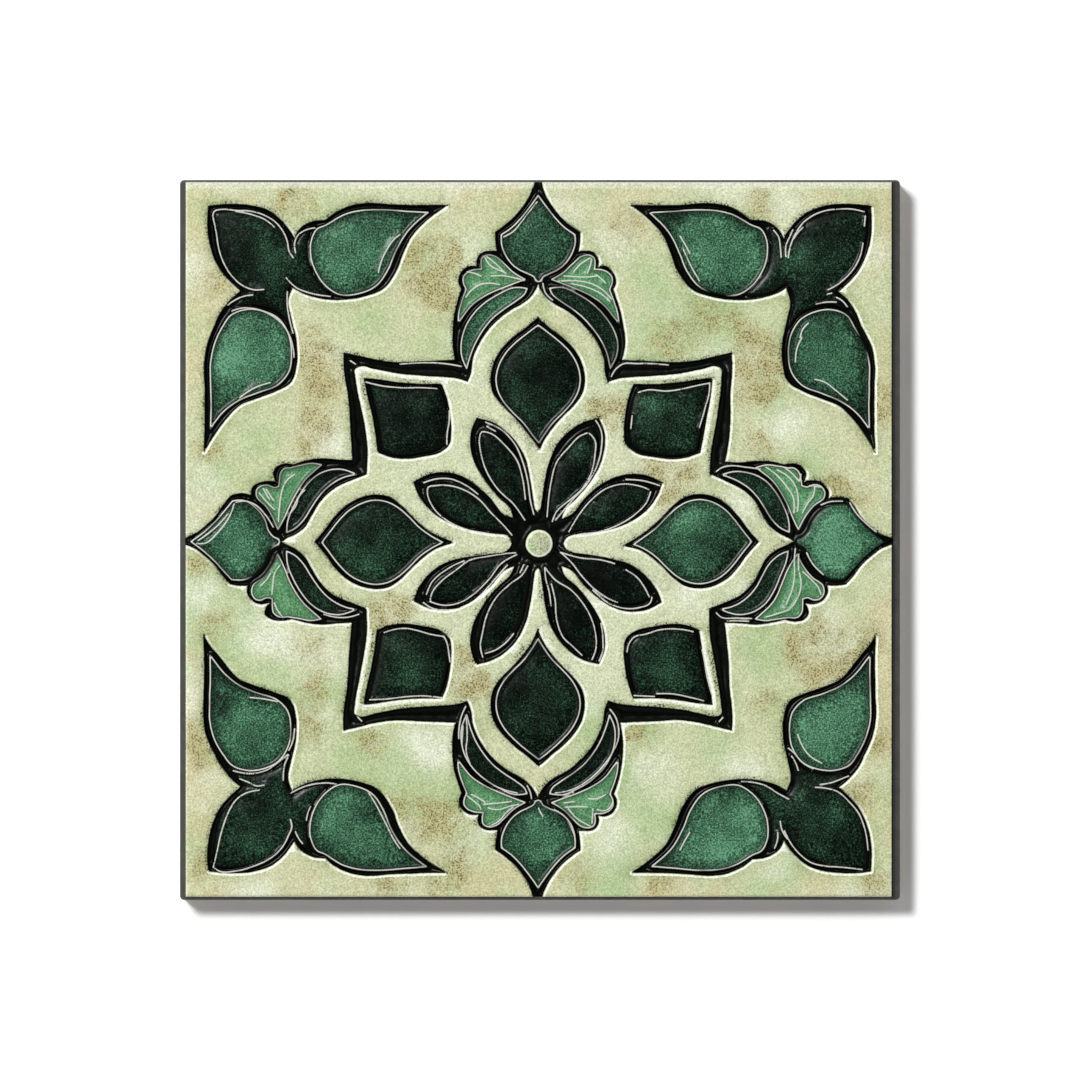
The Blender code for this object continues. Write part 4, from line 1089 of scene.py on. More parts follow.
class Sheet:
    """A node tree being written, with short calls for the nodes that the finishes use."""

    def __init__(self, tree: bpy.types.NodeTree) -> None:
        """Keep the tree that is written."""
        self.tree = tree

    def feed(self, socket: bpy.types.NodeSocket, value: object) -> None:
        """Link an output to a socket, or set the socket's own value.

        Args:
            socket: The input to feed.
            value: An output, a plain value, or None to leave the socket as it is.
        """
        if isinstance(value, bpy.types.NodeSocket):
            self.tree.links.new(value, socket)
        elif value is not None:
            socket.default_value = value

    def node(self, kind: str, inputs: dict | None = None, **settings: object) -> bpy.types.Node:
        """Add a node.

        Args:
            kind: The type of the node.
            inputs: What its inputs get, by label or number.
            settings: The properties to set before its inputs are fed.

        Returns:
            The new node.
        """
        made = self.tree.nodes.new(kind)
        for name, value in settings.items():
            setattr(made, name, value)
        for name, value in (inputs or {}).items():
            self.feed(made.inputs[name], value)
        return made

    def attribute(self, name: str) -> bpy.types.NodeSocket:
        """The value of a mesh attribute."""
        return self.node("ShaderNodeAttribute", attribute_name=name).outputs["Fac"]

    def math(self, operation: str, a: object, b: object = None) -> bpy.types.NodeSocket:
        """One sum on one or two values."""
        return self.node("ShaderNodeMath", {0: a, 1: b}, operation=operation).outputs[0]

    def times(self, *values: object) -> bpy.types.NodeSocket:
        """The product of several values.

        Args:
            values: Outputs or plain numbers.

        Returns:
            The output that holds the product.
        """
        product = values[0]
        for value in values[1:]:
            product = self.math("MULTIPLY", product, value)
        return product

    def remap(self, value: object, low: float, high: float, start: float = 0.0,
              end: float = 1.0) -> bpy.types.NodeSocket:
        """The value carried smoothly from one span to another, and held at its ends.

        Args:
            value: The output to carry over.
            low: Where its span starts.
            high: Where its span ends, which may be lower.
            start: What the low end becomes.
            end: What the high end becomes.

        Returns:
            The output that holds the result.
        """
        made = self.node("ShaderNodeMapRange", {"Value": value, "From Min": low, "From Max": high,
                                                "To Min": start, "To Max": end},
                         interpolation_type="SMOOTHSTEP")
        return made.outputs["Result"]

    def mix(self, factor: object, a: object, b: object, mode: str = "MIX") -> bpy.types.NodeSocket:
        """Two colours blended, from the first at factor 0 to the second at factor 1."""
        made = self.node("ShaderNodeMix", {0: factor, 6: a, 7: b}, data_type="RGBA", blend_type=mode)
        return made.outputs[2]

    def noise(self, vector: object, wavelength: float, detail: float = 2.0,
              seed: float = 0.0) -> bpy.types.NodeSocket:
        """Smooth noise.

        Args:
            vector: The Object coordinates.
            wavelength: About how far across its features are, in millimetres.
            detail: How many finer layers it has.
            seed: Another number gives another noise.

        Returns:
            The output that holds the noise, from 0 to 1.
        """
        made = self.node("ShaderNodeTexNoise", {"Vector": vector, "W": seed, "Detail": detail,
                                                "Scale": PER_METRE / wavelength}, noise_dimensions="4D")
        return made.outputs["Fac"]

    def ramp(self, value: object, stops: tuple[tuple[float, tuple], ...]) -> bpy.types.NodeSocket:
        """A row of colours along a value from 0 to 1.

        Args:
            value: The output that runs along the row.
            stops: The place and the colour of each stop.

        Returns:
            The output that holds the colour.
        """
        made = self.node("ShaderNodeValToRGB", {"Fac": value})
        line = made.color_ramp
        while len(line.elements) < len(stops):
            line.elements.new(0.5)
        for element, (place, colour) in zip(line.elements, stops):
            element.position, element.color = place, colour
        return made.outputs["Color"]


class SharedGroups:
    """Shader node groups for the effects that several finishes use."""

    def __init__(self) -> None:
        """Build each group once."""
        self.grain = self.build_grain()
        self.wobble = self.build_wobble()
        self.stain = self.build_stain()

    @staticmethod
    def start(name: str, inputs: tuple[tuple[str, str], ...], outputs: tuple[tuple[str, str], ...],
              ) -> tuple[Sheet, dict, bpy.types.Node]:
        """Open a new group.

        Args:
            name: The name of the group.
            inputs: The label and the type of each input.
            outputs: The label and the type of each output.

        Returns:
            Its sheet, its inputs by label, and the node that its outputs are fed into.
        """
        tree = bpy.data.node_groups.new(name, "ShaderNodeTree")
        for label, kind in inputs:
            tree.interface.new_socket(label, in_out="INPUT", socket_type=kind)
        for label, kind in outputs:
            tree.interface.new_socket(label, in_out="OUTPUT", socket_type=kind)
        sheet = Sheet(tree)
        source = sheet.node("NodeGroupInput")
        sink = sheet.node("NodeGroupOutput")
        return sheet, {label: source.outputs[label] for label, _ in inputs}, sink

    def build_grain(self) -> bpy.types.NodeTree:
        """Fine speckle in a fired glaze: a fine noise and a coarser one about 1, and sparse specks.

        Returns:
            The group, from a place and a strength to a factor and a mask of specks.
        """
        sheet, given, sink = self.start("glaze_grain", (("Vector", VECTOR), ("Strength", VALUE)),
                                        (("Value", VALUE), ("Specks", VALUE)))
        fine = sheet.noise(given["Vector"], 0.33, 0.0)
        coarse = sheet.noise(given["Vector"], 0.9, 1.0, seed=3.0)
        both = sheet.math("ADD", sheet.math("MULTIPLY", fine, 0.8), sheet.math("MULTIPLY", coarse, 0.2))
        swing = sheet.math("MULTIPLY", sheet.math("SUBTRACT", both, 0.5), given["Strength"])
        sheet.feed(sink.inputs["Value"], sheet.math("MAXIMUM", sheet.math("ADD", swing, 1.0), 0.0))
        specks = sheet.noise(given["Vector"], 0.36, 0.0, seed=9.0)
        sheet.feed(sink.inputs["Specks"], sheet.remap(specks, 0.52, 0.64))
        return sheet.tree

    def build_wobble(self) -> bpy.types.NodeTree:
        """A distance made uneven, as a line cut by hand is: a slow wave and a quick one are added to it.

        Returns:
            The group, from a place, a distance and an amount in millimetres to a distance.
        """
        sheet, given, sink = self.start(
            "hand_wobble", (("Vector", VECTOR), ("Distance", VALUE), ("Amount", VALUE)),
            (("Distance", VALUE),))
        slow = sheet.math("SUBTRACT", sheet.noise(given["Vector"], 5.0, 2.0, seed=5.0), 0.5)
        quick = sheet.math("SUBTRACT", sheet.noise(given["Vector"], 0.8, 1.0, seed=6.0), 0.5)
        wave = sheet.math("ADD", slow, sheet.math("MULTIPLY", quick, 0.5))
        wave = sheet.math("MULTIPLY", wave, given["Amount"])
        sheet.feed(sink.inputs["Distance"], sheet.math("ADD", given["Distance"], wave))
        return sheet.tree

    def build_stain(self) -> bpy.types.NodeTree:
        """Slow cloudy patches: a warped noise, cut between a low and a high level.

        Returns:
            The group, from a place, a scale, a seed and a bias towards more patches to a mask.
        """
        sheet, given, sink = self.start(
            "cloudy_stain", (("Vector", VECTOR), ("Scale", VALUE), ("Seed", VALUE), ("Bias", VALUE)),
            (("Mask", VALUE),))
        made = sheet.node("ShaderNodeTexNoise", {"Vector": given["Vector"], "W": given["Seed"],
                                                 "Scale": given["Scale"], "Detail": 4.0, "Roughness": 0.55,
                                                 "Distortion": 0.3}, noise_dimensions="4D")
        lifted = sheet.math("ADD", made.outputs["Fac"], given["Bias"])
        sheet.feed(sink.inputs["Mask"], sheet.remap(lifted, 0.5, 0.72))
        return sheet.tree


@dataclass(frozen=True)
class CeladonField:
    """The pale yellow green glaze of the raised field, clouded, stained brown and specked, with painted
    highlights and painted shade along its edges.

    First its colours, then the strength of its grain, the widths of its clouds, and the spans over which each
    band at an edge comes in or goes out. Widths and spans are in millimetres.
    """

    cream: tuple = shown(204, 210, 170)
    fresh: tuple = shown(178, 200, 149)
    bloom: tuple = shown(228, 234, 210)
    brown: tuple = shown(180, 168, 116)
    sand: tuple = shown(208, 200, 158)
    # A darker olive green, laid in patches over the field near the channels.
    olive_band: tuple = shown(140, 156, 100)
    speck: tuple = shown(104, 96, 54)
    # Painted light and shade along the field's edges: shade is the painted shade halo, lit_edge the painted
    # highlight lines, dark_edge the painted shadow lines and a thin dark line at the left, top_band a painted
    # pale band along the top edge.
    shade: tuple = shown(48, 60, 34)
    lit_edge: tuple = shown(244, 247, 234)
    dark_edge: tuple = shown(6, 10, 6)
    top_band: tuple = shown(214, 216, 196)
    boss: tuple = shown(186, 190, 160)
    grain: float = 1.15
    boss_grain: float = 1.8
    fresh_width: float = 24.0
    sand_width: float = 17.0
    haze_width: float = 14.0
    bloom_width: float = 9.0
    olive_band_width: float = 7.0
    brown_width: float = 5.0
    # The width of the patches of the painted shade halo.
    painted_shade_width: float = 4.0
    mottle_width: float = 1.8
    star_to_outside: Point = (-48.0, -34.0)
    inside_to_shore: Point = (-16.0, -3.0)
    olive_band_in: Point = (-3.2, -0.2)
    # The next four spans place the painted shade halo, the painted highlight line, where it starts and where
    # it ends, and the painted shadow line beside the channels.
    painted_shade_in: Point = (-1.3, -0.1)
    lit_in: Point = (-0.62, -0.42)
    lit_out: Point = (-0.04, -0.2)
    dark_in: Point = (-0.3, -0.12)
    # The next five spans place the painted pale band and highlight line along the top, the painted shadow
    # line at the right, and the painted highlight line and a dark line at the left of the field's own border.
    top_band_in: Point = (74.65, 74.85)
    top_line_in: Point = (74.25, 74.45)
    right_dark_in: Point = (74.25, 74.4)
    left_line_in: Point = (-74.45, -74.6)
    left_dark_in: Point = (-74.85, -75.0)


@dataclass(frozen=True)
class CellGlaze:
    """The transparent green glazes in the cells, from near black where thick to emerald where thin.

    The ladder and the leafy one are rows of colours along the greenness. Widths, waves of the hand and the
    spans across a line are in millimetres.
    """

    ladder: tuple = ((0.0, shown(4, 9, 5)), (0.2, shown(17, 31, 21)), (0.4, shown(34, 58, 43)),
                     (0.6, shown(53, 90, 67)), (0.8, shown(74, 120, 92)), (1.0, shown(98, 152, 118)))
    leafy: tuple = ((0.0, shown(24, 50, 30)), (0.4, shown(60, 108, 68)), (0.75, shown(92, 142, 100)),
                    (1.0, shown(118, 170, 122)))
    ink: tuple = shown(3, 6, 3)
    line: tuple = shown(216, 215, 206)
    grain: float = 1.25
    cloud_width: float = 6.0
    pool: Point = (0.1, 2.8)
    edge_wave: float = 0.3
    border_wave: float = 0.16
    thread_wave: float = 0.1
    boss_wave: float = 0.4
    border_out: Point = (0.08, 0.18)
    thread_out: Point = (0.08, 0.19)
    bold_width: float = 9.0
    ripple_width: float = 2.0
    ripple_roughness: Point = (0.22, 0.34)
    pit_width: float = 0.7
    pit_depth: float = 0.0001
    pit_strength: float = 0.3
    specular: float = 0.1


@dataclass(frozen=True)
class BodyFinish:
    """The fired body where it is bare, and the dark glaze on the rim and sides, with heights in metres."""

    rim: tuple = shown(92, 92, 88)
    rim_dark: tuple = shown(62, 63, 60)
    clay: tuple = shown(206, 190, 165)
    clay_dark: tuple = shown(158, 140, 116)
    rim_width: float = 3.0
    clay_width: float = 30.0
    clay_grain: float = 0.5
    drip_width: float = 8.0
    drip: float = 0.003
    glaze_ends: float = 0.0034
    glaze_full: float = 0.0042
    side_roughness: float = 0.5
    side_specular: float = 0.3
    back_roughness: float = 0.85


class Finishes:
    """The materials of the tile, built from the shared groups."""

    def __init__(self) -> None:
        """Build the shared groups and the three materials."""
        self.groups = SharedGroups()
        self.face = self.build_face(CeladonField(), CellGlaze(), BodyFinish())
        self.side = self.build_side(BodyFinish())
        self.back = self.build_back(BodyFinish())

    @staticmethod
    def start(name: str) -> tuple[bpy.types.Material, Sheet, bpy.types.Node, bpy.types.NodeSocket]:
        """A new material.

        Args:
            name: Its name.

        Returns:
            The material, its sheet, its shader and its Object coordinates.
        """
        material = bpy.data.materials.new(name)
        material.use_nodes = True
        sheet = Sheet(material.node_tree)
        shader = material.node_tree.nodes["Principled BSDF"]
        return material, sheet, shader, sheet.node("ShaderNodeTexCoord").outputs["Object"]

    @staticmethod
    def group(sheet: Sheet, tree: bpy.types.NodeTree, inputs: dict) -> bpy.types.Node:
        """Place a shared group in a material.

        Args:
            sheet: The material's sheet.
            tree: The group.
            inputs: The material's own values for it, by label.

        Returns:
            The group's node.
        """
        made = sheet.node("ShaderNodeGroup")
        made.node_tree = tree
        for name, value in inputs.items():
            sheet.feed(made.inputs[name], value)
        return made

    def stain(self, sheet: Sheet, place: bpy.types.NodeSocket, wavelength: float, seed: float,
              bias: object) -> bpy.types.NodeSocket:
        """Cloudy patches.

        Args:
            sheet: The material's sheet.
            place: The Object coordinates.
            wavelength: About how far across a patch is, in millimetres.
            seed: Another number gives other patches.
            bias: How much more of the surface they cover.

        Returns:
            Their mask.
        """
        made = self.group(sheet, self.groups.stain, {"Vector": place, "Scale": PER_METRE / wavelength,
                                                     "Seed": seed, "Bias": bias})
        return made.outputs["Mask"]

    def wobbled(self, sheet: Sheet, place: bpy.types.NodeSocket, name: str,
                amount: float) -> bpy.types.NodeSocket:
        """A distance attribute made uneven by the hand.

        Args:
            sheet: The material's sheet.
            place: The Object coordinates.
            name: The attribute.
            amount: The size of the waves, in millimetres.

        Returns:
            The uneven distance, in millimetres.
        """
        made = self.group(sheet, self.groups.wobble, {"Vector": place, "Distance": sheet.attribute(name),
                                                      "Amount": amount})
        return made.outputs["Distance"]

    def build_face(self, pale: CeladonField, cells: CellGlaze, body: BodyFinish) -> bpy.types.Material:
        """The glazed face: the field, the ink-black channels, the pale lines and the cells.

        Args:
            pale: The colours of the field.
            cells: The colours of the cells.
            body: The finish of the body.

        Returns:
            The material.
        """
        material, sheet, shader, place = self.start("relief_glaze")
        sunk = self.wobbled(sheet, place, "sunk", cells.edge_wave)
        cell = self.wobbled(sheet, place, "cell", cells.edge_wave)
        boss = self.wobbled(sheet, place, "boss", cells.boss_wave)
        field_colour = self.field_colour(sheet, place, pale, sunk)
        glaze = self.cell_colour(sheet, place, cells, cell)
        sunk_colour = sheet.mix(sheet.remap(cell, 0.0, 0.5), cells.ink, glaze)
        sunk_colour = sheet.mix(self.pale_lines(sheet, place, cells), sunk_colour, cells.line)
        colour = sheet.mix(sheet.remap(sunk, -0.05, 0.05), field_colour, sunk_colour)
        colour = sheet.mix(sheet.remap(boss, -0.1, -0.22), colour, self.boss_colour(sheet, place, pale, boss))
        rim_colour = sheet.mix(sheet.noise(place, body.rim_width, 3.0), body.rim, body.rim_dark)
        colour = sheet.mix(sheet.remap(sheet.attribute("rim"), 0.03, 0.1), colour, rim_colour)
        sheet.feed(shader.inputs["Base Color"], colour)
        rough = sheet.remap(sheet.noise(place, cells.ripple_width, 3.0), 0.3, 0.7, *cells.ripple_roughness)
        sheet.feed(shader.inputs["Roughness"], rough)
        bump = sheet.node("ShaderNodeBump", {"Strength": cells.pit_strength, "Distance": cells.pit_depth,
                                             "Height": sheet.noise(place, cells.pit_width, 3.0)})
        sheet.feed(shader.inputs["Normal"], bump.outputs["Normal"])
        shader.inputs["Specular IOR Level"].default_value = cells.specular
        return material

    def boss_colour(self, sheet: Sheet, place: bpy.types.NodeSocket, pale: CeladonField,
                    boss: bpy.types.NodeSocket) -> bpy.types.NodeSocket:
        """The mottled glaze of the boss, with dark specks and a painted highlight ring inside its edge.

        Args:
            sheet: The material's sheet.
            place: The Object coordinates.
            pale: The colours of the field.
            boss: The distance past the boss's edge, made uneven.

        Returns:
            The colour.
        """
        dust = self.group(sheet, self.groups.grain, {"Vector": place, "Strength": pale.boss_grain})
        patches = sheet.remap(sheet.noise(place, pale.mottle_width, seed=13.0), 0.38, 0.62)
        mottled = sheet.mix(patches, pale.boss, pale.fresh)
        mottled = sheet.mix(sheet.times(dust.outputs["Specks"], 0.35), mottled, pale.speck)
        knob = sheet.mix(1.0, mottled, dust.outputs["Value"], "MULTIPLY")
        # Painted highlight: a pale ring all round inside the boss's edge.
        painted_highlight_ring = sheet.times(sheet.remap(boss, -0.75, -0.5), sheet.remap(boss, -0.12, -0.3))
        return sheet.mix(painted_highlight_ring, knob, pale.bloom)

    def pale_lines(self, sheet: Sheet, place: bpy.types.NodeSocket,
                   cells: CellGlaze) -> bpy.types.NodeSocket:
        """How strongly a pale line shows: borders of uneven strength, and the trailed threads.

        Args:
            sheet: The material's sheet.
            place: The Object coordinates.
            cells: The glazes of the cells and their lines.

        Returns:
            The mask of the pale lines.
        """
        cell = self.wobbled(sheet, place, "cell", cells.border_wave)
        thread = self.wobbled(sheet, place, "thread", cells.thread_wave)
        border = sheet.remap(sheet.math("ABSOLUTE", cell), *cells.border_out, 1.0, 0.0)
        strength = sheet.remap(sheet.noise(place, cells.bold_width, seed=8.0), 0.34, 0.5, 0.45, 0.95)
        border = sheet.times(border, sheet.attribute("border"), strength)
        trailed = sheet.times(sheet.remap(thread, *cells.thread_out, 1.0, 0.0), 0.92)
        return sheet.math("MAXIMUM", border, trailed)

    def field_colour(self, sheet: Sheet, place: bpy.types.NodeSocket, pale: CeladonField,
                     sunk: bpy.types.NodeSocket) -> bpy.types.NodeSocket:
        """Clouds over cream, brown stains with specks, a darker olive band near the channels, and painted
        highlights and painted shade along the edges of the field, under a fine grain.

        Args:
            sheet: The material's sheet.
            place: The Object coordinates.
            pale: The colours of the field.
            sunk: The distance past the field's edge, made uneven.

        Returns:
            The colour.
        """
        grain = self.group(sheet, self.groups.grain, {"Vector": place, "Strength": pale.grain})
        specks = grain.outputs["Specks"]
        outer = sheet.remap(sheet.attribute("rim"), *pale.star_to_outside)
        colour = self.clouded(sheet, place, pale, outer)
        colour = self.stained_brown(sheet, place, pale, colour, specks)
        # A darker olive band in patches over the field within about 3 mm of the channels, stronger outside
        # the star.
        patches = sheet.remap(sheet.noise(place, pale.olive_band_width, seed=12.0), 0.4, 0.65)
        olive_band = sheet.times(sheet.math("ADD", sheet.times(outer, 0.7), 0.3),
                           sheet.remap(sunk, *pale.olive_band_in, 0.0, 0.4), patches)
        colour = sheet.mix(olive_band, colour, pale.olive_band)
        colour = self.edged(sheet, place, pale, colour, sunk, specks)
        colour = self.border_of_field(sheet, place, pale, colour)
        return sheet.mix(1.0, colour, grain.outputs["Value"], "MULTIPLY")

    def clouded(self, sheet: Sheet, place: bpy.types.NodeSocket, pale: CeladonField,
                outer: bpy.types.NodeSocket) -> bpy.types.NodeSocket:
        """Cream glaze with clouds of fresh green, sand and white, which is greener outside the star.

        Args:
            sheet: The material's sheet.
            place: The Object coordinates.
            pale: The colours of the field.
            outer: 0 inside the star and 1 outside it.

        Returns:
            The colour.
        """
        fresh = sheet.math("MAXIMUM", self.stain(sheet, place, pale.fresh_width, 1.0, 0.04),
                           sheet.times(sheet.attribute("fresh"), 0.9))
        fresh = sheet.times(fresh, sheet.math("ADD", sheet.times(outer, 0.5), 0.5))
        colour = sheet.mix(fresh, pale.cream, pale.fresh)
        shore = sheet.remap(sheet.attribute("rim"), *pale.inside_to_shore, 0.2, 0.8)
        sand = sheet.times(self.stain(sheet, place, pale.sand_width, 8.0, 0.08), shore)
        colour = sheet.mix(sand, colour, pale.sand)
        cloud = self.stain(sheet, place, pale.bloom_width, 2.0, 0.06)
        cloud = sheet.math("ADD", sheet.times(cloud, 0.5), 0.5)
        bloom = sheet.math("MULTIPLY", sheet.attribute("bloom"), cloud)
        haze = self.stain(sheet, place, pale.haze_width, 5.0, 0.0)
        bloom = sheet.math("MAXIMUM", bloom, sheet.times(haze, 0.55))
        bloom = sheet.math("MAXIMUM", bloom, sheet.times(sheet.math("SUBTRACT", 1.0, outer), 0.3))
        return sheet.mix(bloom, colour, pale.bloom)

    def stained_brown(self, sheet: Sheet, place: bpy.types.NodeSocket, pale: CeladonField,
                      colour: bpy.types.NodeSocket, specks: bpy.types.NodeSocket) -> bpy.types.NodeSocket:
        """Brown patches round the brown spots, with most of the dark specks in them.

        Args:
            sheet: The material's sheet.
            place: The Object coordinates.
            pale: The colours of the field.
            colour: The colour so far.
            specks: The mask of the dark specks.

        Returns:
            The colour.
        """
        patch = self.stain(sheet, place, pale.brown_width, 4.0, 0.08)
        patch = sheet.math("ADD", sheet.times(patch, 0.55), 0.45)
        brown = sheet.remap(sheet.math("MULTIPLY", sheet.attribute("brown"), patch), 0.08, 0.9)
        colour = sheet.mix(sheet.times(brown, 0.68), colour, pale.brown)
        share = sheet.math("ADD", sheet.times(brown, 0.7), 0.1)
        return sheet.mix(sheet.times(specks, share), colour, pale.speck)

    def edged(self, sheet: Sheet, place: bpy.types.NodeSocket, pale: CeladonField,
              colour: bpy.types.NodeSocket, sunk: bpy.types.NodeSocket,
              specks: bpy.types.NodeSocket) -> bpy.types.NodeSocket:
        """Painted light and shade on the field's edges beside the channels: a speckled painted shade halo,
        full where an edge is turned away from the lamp and faint elsewhere, with a painted shadow line there,
        and a painted highlight line where an edge faces the lamp.

        Args:
            sheet: The material's sheet.
            place: The Object coordinates.
            pale: The colours of the field.
            colour: The colour so far.
            sunk: The distance past the field's edge, made uneven.
            specks: The mask of the dark specks.

        Returns:
            The colour.
        """
        facing = sheet.attribute("facing")
        # Painted shade: a speckled dark halo on the field beside the channels, full on the edges turned away
        # from the lamp and faint on the others.
        reach = sheet.remap(sheet.noise(place, pale.painted_shade_width, seed=11.0), 0.3, 0.7)
        painted_shade = sheet.times(sheet.remap(sunk, *pale.painted_shade_in), sheet.remap(facing, 0.35, -0.3, 0.12, 1.0),
                           reach, sheet.math("ADD", sheet.times(specks, 1.1), 0.3))
        colour = sheet.mix(sheet.math("MINIMUM", painted_shade, 0.95), colour, pale.shade)
        # Painted highlight: a near-white line on the field's edges that face the lamp.
        lit = sheet.times(sheet.remap(sunk, *pale.lit_in), sheet.remap(sunk, *pale.lit_out),
                          sheet.remap(facing, -0.15, 0.5))
        colour = sheet.mix(lit, colour, pale.lit_edge)
        # Painted shadow: the black of the channel widened on the edges turned away from the lamp.
        dark = sheet.times(sheet.remap(sunk, *pale.dark_in), sheet.remap(facing, 0.1, -0.4))
        return sheet.mix(dark, colour, pale.dark_edge)

    def border_of_field(self, sheet: Sheet, place: bpy.types.NodeSocket, pale: CeladonField,
                        colour: bpy.types.NodeSocket) -> bpy.types.NodeSocket:
        """Painted light and shade along the field's own border: a pale greyish painted band with a painted
        highlight line along the top edge, a painted shadow line at the right side, and at the left a painted
        highlight line and a thin dark line.

        Args:
            sheet: The material's sheet.
            place: The Object coordinates.
            pale: The colours of the field.
            colour: The colour so far.

        Returns:
            The colour.
        """
        place = sheet.node("ShaderNodeSeparateXYZ", {0: place})
        across = sheet.times(place.outputs["X"], PER_METRE)
        up = sheet.times(place.outputs["Y"], PER_METRE)
        # Painted pale band and painted highlight line along the top edge.
        band = sheet.times(sheet.remap(up, *pale.top_band_in), 0.9)
        colour = sheet.mix(band, colour, pale.top_band)
        bright = sheet.times(sheet.remap(up, *pale.top_line_in),
                             sheet.remap(up, *reversed(pale.top_band_in)), 0.3)
        colour = sheet.mix(bright, colour, pale.lit_edge)
        # Painted shadow line along the right side.
        right = sheet.remap(across, *pale.right_dark_in)
        colour = sheet.mix(right, colour, pale.dark_edge)
        # Painted highlight line along the left side, then a thin dark line at its outer edge.
        left = sheet.times(sheet.remap(across, *pale.left_line_in),
                           sheet.remap(across, *reversed(pale.left_dark_in)), 0.25)
        colour = sheet.mix(left, colour, pale.lit_edge)
        return sheet.mix(sheet.remap(across, *pale.left_dark_in), colour, pale.dark_edge)

    def cell_colour(self, sheet: Sheet, place: bpy.types.NodeSocket, cells: CellGlaze,
                    cell: bpy.types.NodeSocket) -> bpy.types.NodeSocket:
        """Greenness from the tone of the cell, less near its edges, with cloudy depth and grain.

        Args:
            sheet: The material's sheet.
            place: The Object coordinates.
            cells: The colours of the cells.
            cell: The distance inside a cell's edge, made uneven.

        Returns:
            The colour.
        """
        grain = self.group(sheet, self.groups.grain, {"Vector": place, "Strength": cells.grain})
        grain = grain.outputs["Value"]
        tone = sheet.attribute("tone")
        cloud = sheet.math("SUBTRACT", sheet.noise(place, cells.cloud_width, seed=2.0), 0.5)
        depth = sheet.remap(cell, *cells.pool, 0.62, 1.0)
        cloud = sheet.times(cloud, sheet.math("SUBTRACT", 0.8, sheet.times(tone, 0.15)))
        level = sheet.times(sheet.math("ADD", tone, cloud), depth)
        speckled = sheet.math("ADD", level, sheet.math("SUBTRACT", grain, 1.0))
        ladder = sheet.mix(1.0, sheet.ramp(speckled, cells.ladder), grain, "MULTIPLY")
        shallow = sheet.math("ADD", sheet.times(speckled, 0.62), 0.25)
        leafy = sheet.mix(1.0, sheet.ramp(shallow, cells.leafy), grain, "MULTIPLY")
        return sheet.mix(sheet.attribute("palmette"), ladder, leafy)

    def build_side(self, body: BodyFinish) -> bpy.types.Material:
        """The dark grey glaze on the rim and down the sides, thinner over the clay near the foot.

        Args:
            body: The finish of the body.

        Returns:
            The material.
        """
        material, sheet, shader, place = self.start("side_glaze")
        colour = sheet.mix(sheet.noise(place, body.rim_width, 3.0), body.rim, body.rim_dark)
        height = sheet.node("ShaderNodeSeparateXYZ", {0: place}).outputs["Z"]
        drip = sheet.math("MULTIPLY", sheet.noise(place, body.drip_width, 4.0), body.drip)
        drip = sheet.math("ADD", height, drip)
        colour = sheet.mix(sheet.remap(drip, body.glaze_full, body.glaze_ends), colour, body.clay)
        sheet.feed(shader.inputs["Base Color"], colour)
        shader.inputs["Roughness"].default_value = body.side_roughness
        shader.inputs["Specular IOR Level"].default_value = body.side_specular
        return material

    def build_back(self, body: BodyFinish) -> bpy.types.Material:
        """The bare fired clay of the back, sandy and pitted.

        Args:
            body: The finish of the body.

        Returns:
            The material.
        """
        material, sheet, shader, place = self.start("bare_clay")
        grain = self.group(sheet, self.groups.grain, {"Vector": place, "Strength": body.clay_grain})
        colour = sheet.mix(self.stain(sheet, place, body.clay_width, 7.0, 0.05), body.clay, body.clay_dark)
        colour = sheet.mix(1.0, colour, grain.outputs["Value"], "MULTIPLY")
        sheet.feed(shader.inputs["Base Color"], colour)
        shader.inputs["Roughness"].default_value = body.back_roughness
        bump = sheet.node("ShaderNodeBump", {"Strength": 0.5, "Distance": 0.0002,
                                             "Height": sheet.noise(place, 0.8, 4.0)})
        sheet.feed(shader.inputs["Normal"], bump.outputs["Normal"])
        return material


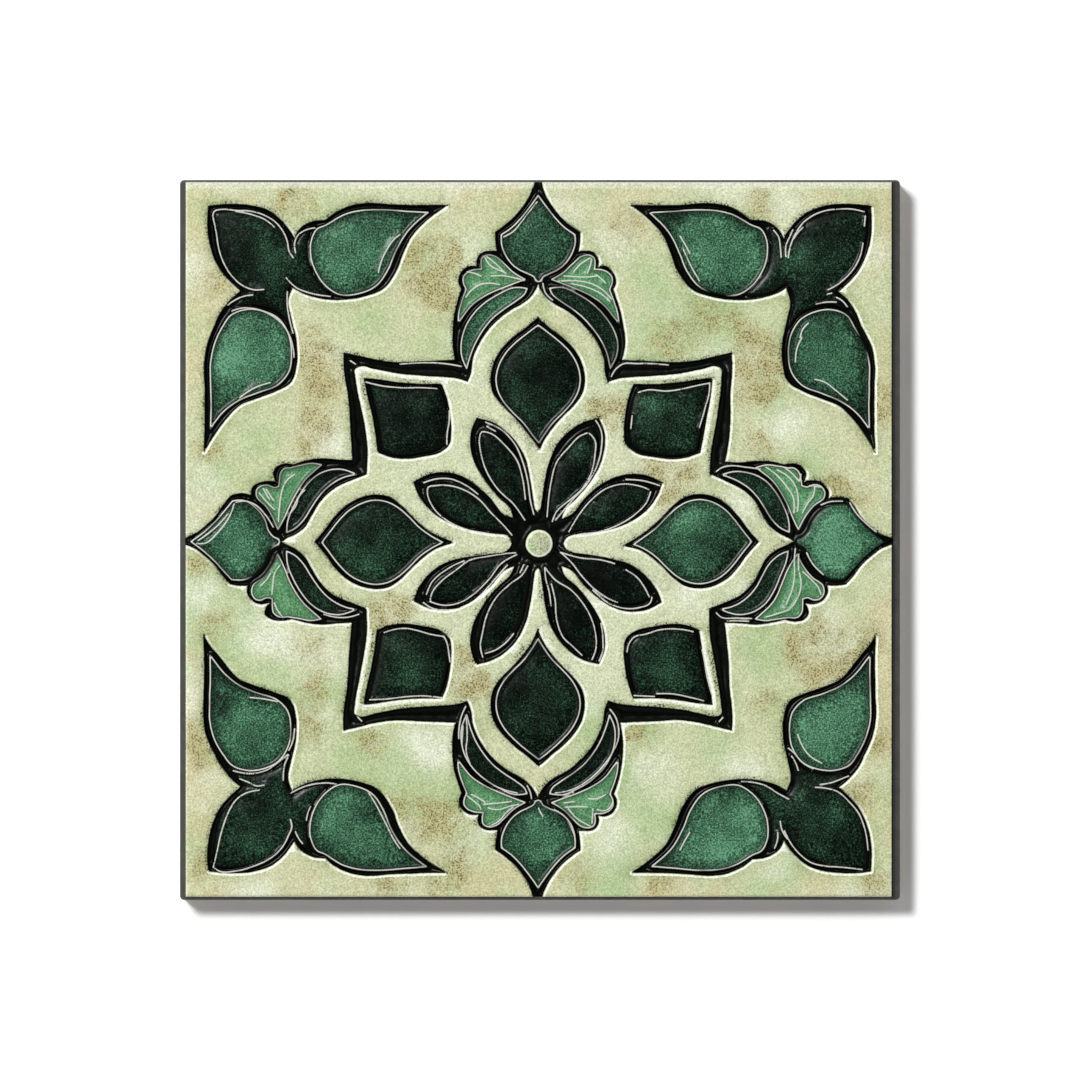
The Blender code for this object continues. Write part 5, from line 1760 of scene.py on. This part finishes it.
@dataclass
class Studio:
    """A white floor, a soft lamp at the upper left, a sky with a dark middle, and a long lens above."""

    frame_width: float = 0.22836
    camera_height: float = 2.0
    face_height: float = 0.0095
    sensor_width: float = 36.0
    floor_width: float = 3.0
    floor_level: float = 0.93
    lamp_distance: float = 3.0
    lamp_width: float = 0.62
    lamp_elevation: float = math.radians(59.5)
    lamp_power: float = 90.0
    sky_low: float = 0.68
    sky_top: float = 0.06
    sky_dims_from: float = 0.55
    sky_dims_to: float = 0.9

    def build(self) -> None:
        """Put the camera, the floor, the lamp and the sky in place."""
        self.add_camera()
        self.add_floor()
        self.add_lamp()
        self.add_sky()

    def add_camera(self) -> None:
        """A camera over the middle of the tile, whose frame is the frame width across at the face."""
        lens = bpy.data.cameras.new("camera")
        lens.sensor_width = self.sensor_width
        lens.lens = lens.sensor_width * self.camera_height / self.frame_width
        camera = bpy.data.objects.new("camera", lens)
        camera.location = (0, 0, self.face_height + self.camera_height)
        bpy.context.scene.collection.objects.link(camera)
        bpy.context.scene.camera = camera

    def add_floor(self) -> None:
        """A plain white floor."""
        half = self.floor_width / 2
        mesh = bpy.data.meshes.new("floor")
        corners = [(-half, -half, 0), (half, -half, 0), (half, half, 0), (-half, half, 0)]
        mesh.from_pydata(corners, [], [(0, 1, 2, 3)])
        material = bpy.data.materials.new("floor_white")
        material.use_nodes = True
        shader = material.node_tree.nodes["Principled BSDF"]
        shader.inputs["Base Color"].default_value = (self.floor_level,) * 3 + (1.0,)
        shader.inputs["Roughness"].default_value = 1.0
        shader.inputs["Specular IOR Level"].default_value = 0.0
        mesh.materials.append(material)
        floor = bpy.data.objects.new("floor", mesh)
        bpy.context.scene.collection.objects.link(floor)

    def add_lamp(self) -> None:
        """A square soft lamp aimed at the tile from the upper left."""
        light = bpy.data.lights.new("key_lamp", "AREA")
        light.size = self.lamp_width
        light.energy = self.lamp_power
        lamp = bpy.data.objects.new("key_lamp", light)
        flat = math.cos(self.lamp_elevation)
        x, y = flat * math.cos(LIGHT_HEADING), flat * math.sin(LIGHT_HEADING)
        aim = Vector((x, y, math.sin(self.lamp_elevation)))
        lamp.location = aim * self.lamp_distance
        lamp.rotation_euler = aim.to_track_quat("Z", "Y").to_euler()
        bpy.context.scene.collection.objects.link(lamp)

    def add_sky(self) -> None:
        """White light from all round, bright low down and dim overhead, so that black glaze stays black."""
        world = bpy.data.worlds.new("sky")
        world.use_nodes = True
        sheet = Sheet(world.node_tree)
        direction = sheet.node("ShaderNodeTexCoord").outputs["Generated"]
        height = sheet.node("ShaderNodeSeparateXYZ", {0: direction}).outputs["Z"]
        strength = sheet.remap(height, self.sky_dims_from, self.sky_dims_to, self.sky_low, self.sky_top)
        background = world.node_tree.nodes["Background"]
        background.inputs["Color"].default_value = (1, 1, 1, 1)
        sheet.feed(background.inputs["Strength"], strength)
        bpy.context.scene.world = world


def main() -> None:
    """Build the tile and its finishes, set up the studio and report each piece."""
    logging.basicConfig(level=logging.INFO, format="%(message)s")
    bpy.context.scene.view_settings.view_transform = "Standard"
    face = TileFace(Drawing())
    tile = face.build()
    finishes = Finishes()
    for material in (finishes.face, finishes.side, finishes.back):
        tile.data.materials.append(material)
    material_of_face = np.zeros(len(tile.data.polygons), np.int32)
    for index, first in enumerate((face.first_side_face, face.first_back_face), start=1):
        material_of_face[first:] = index
    tile.data.polygons.foreach_set("material_index", material_of_face)
    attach(tile, "root")
    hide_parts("tile")
    LOG.info("%s: %d triangles", tile.name, len(tile.data.polygons))
    Studio().build()


if __name__ == "__main__":
    main()
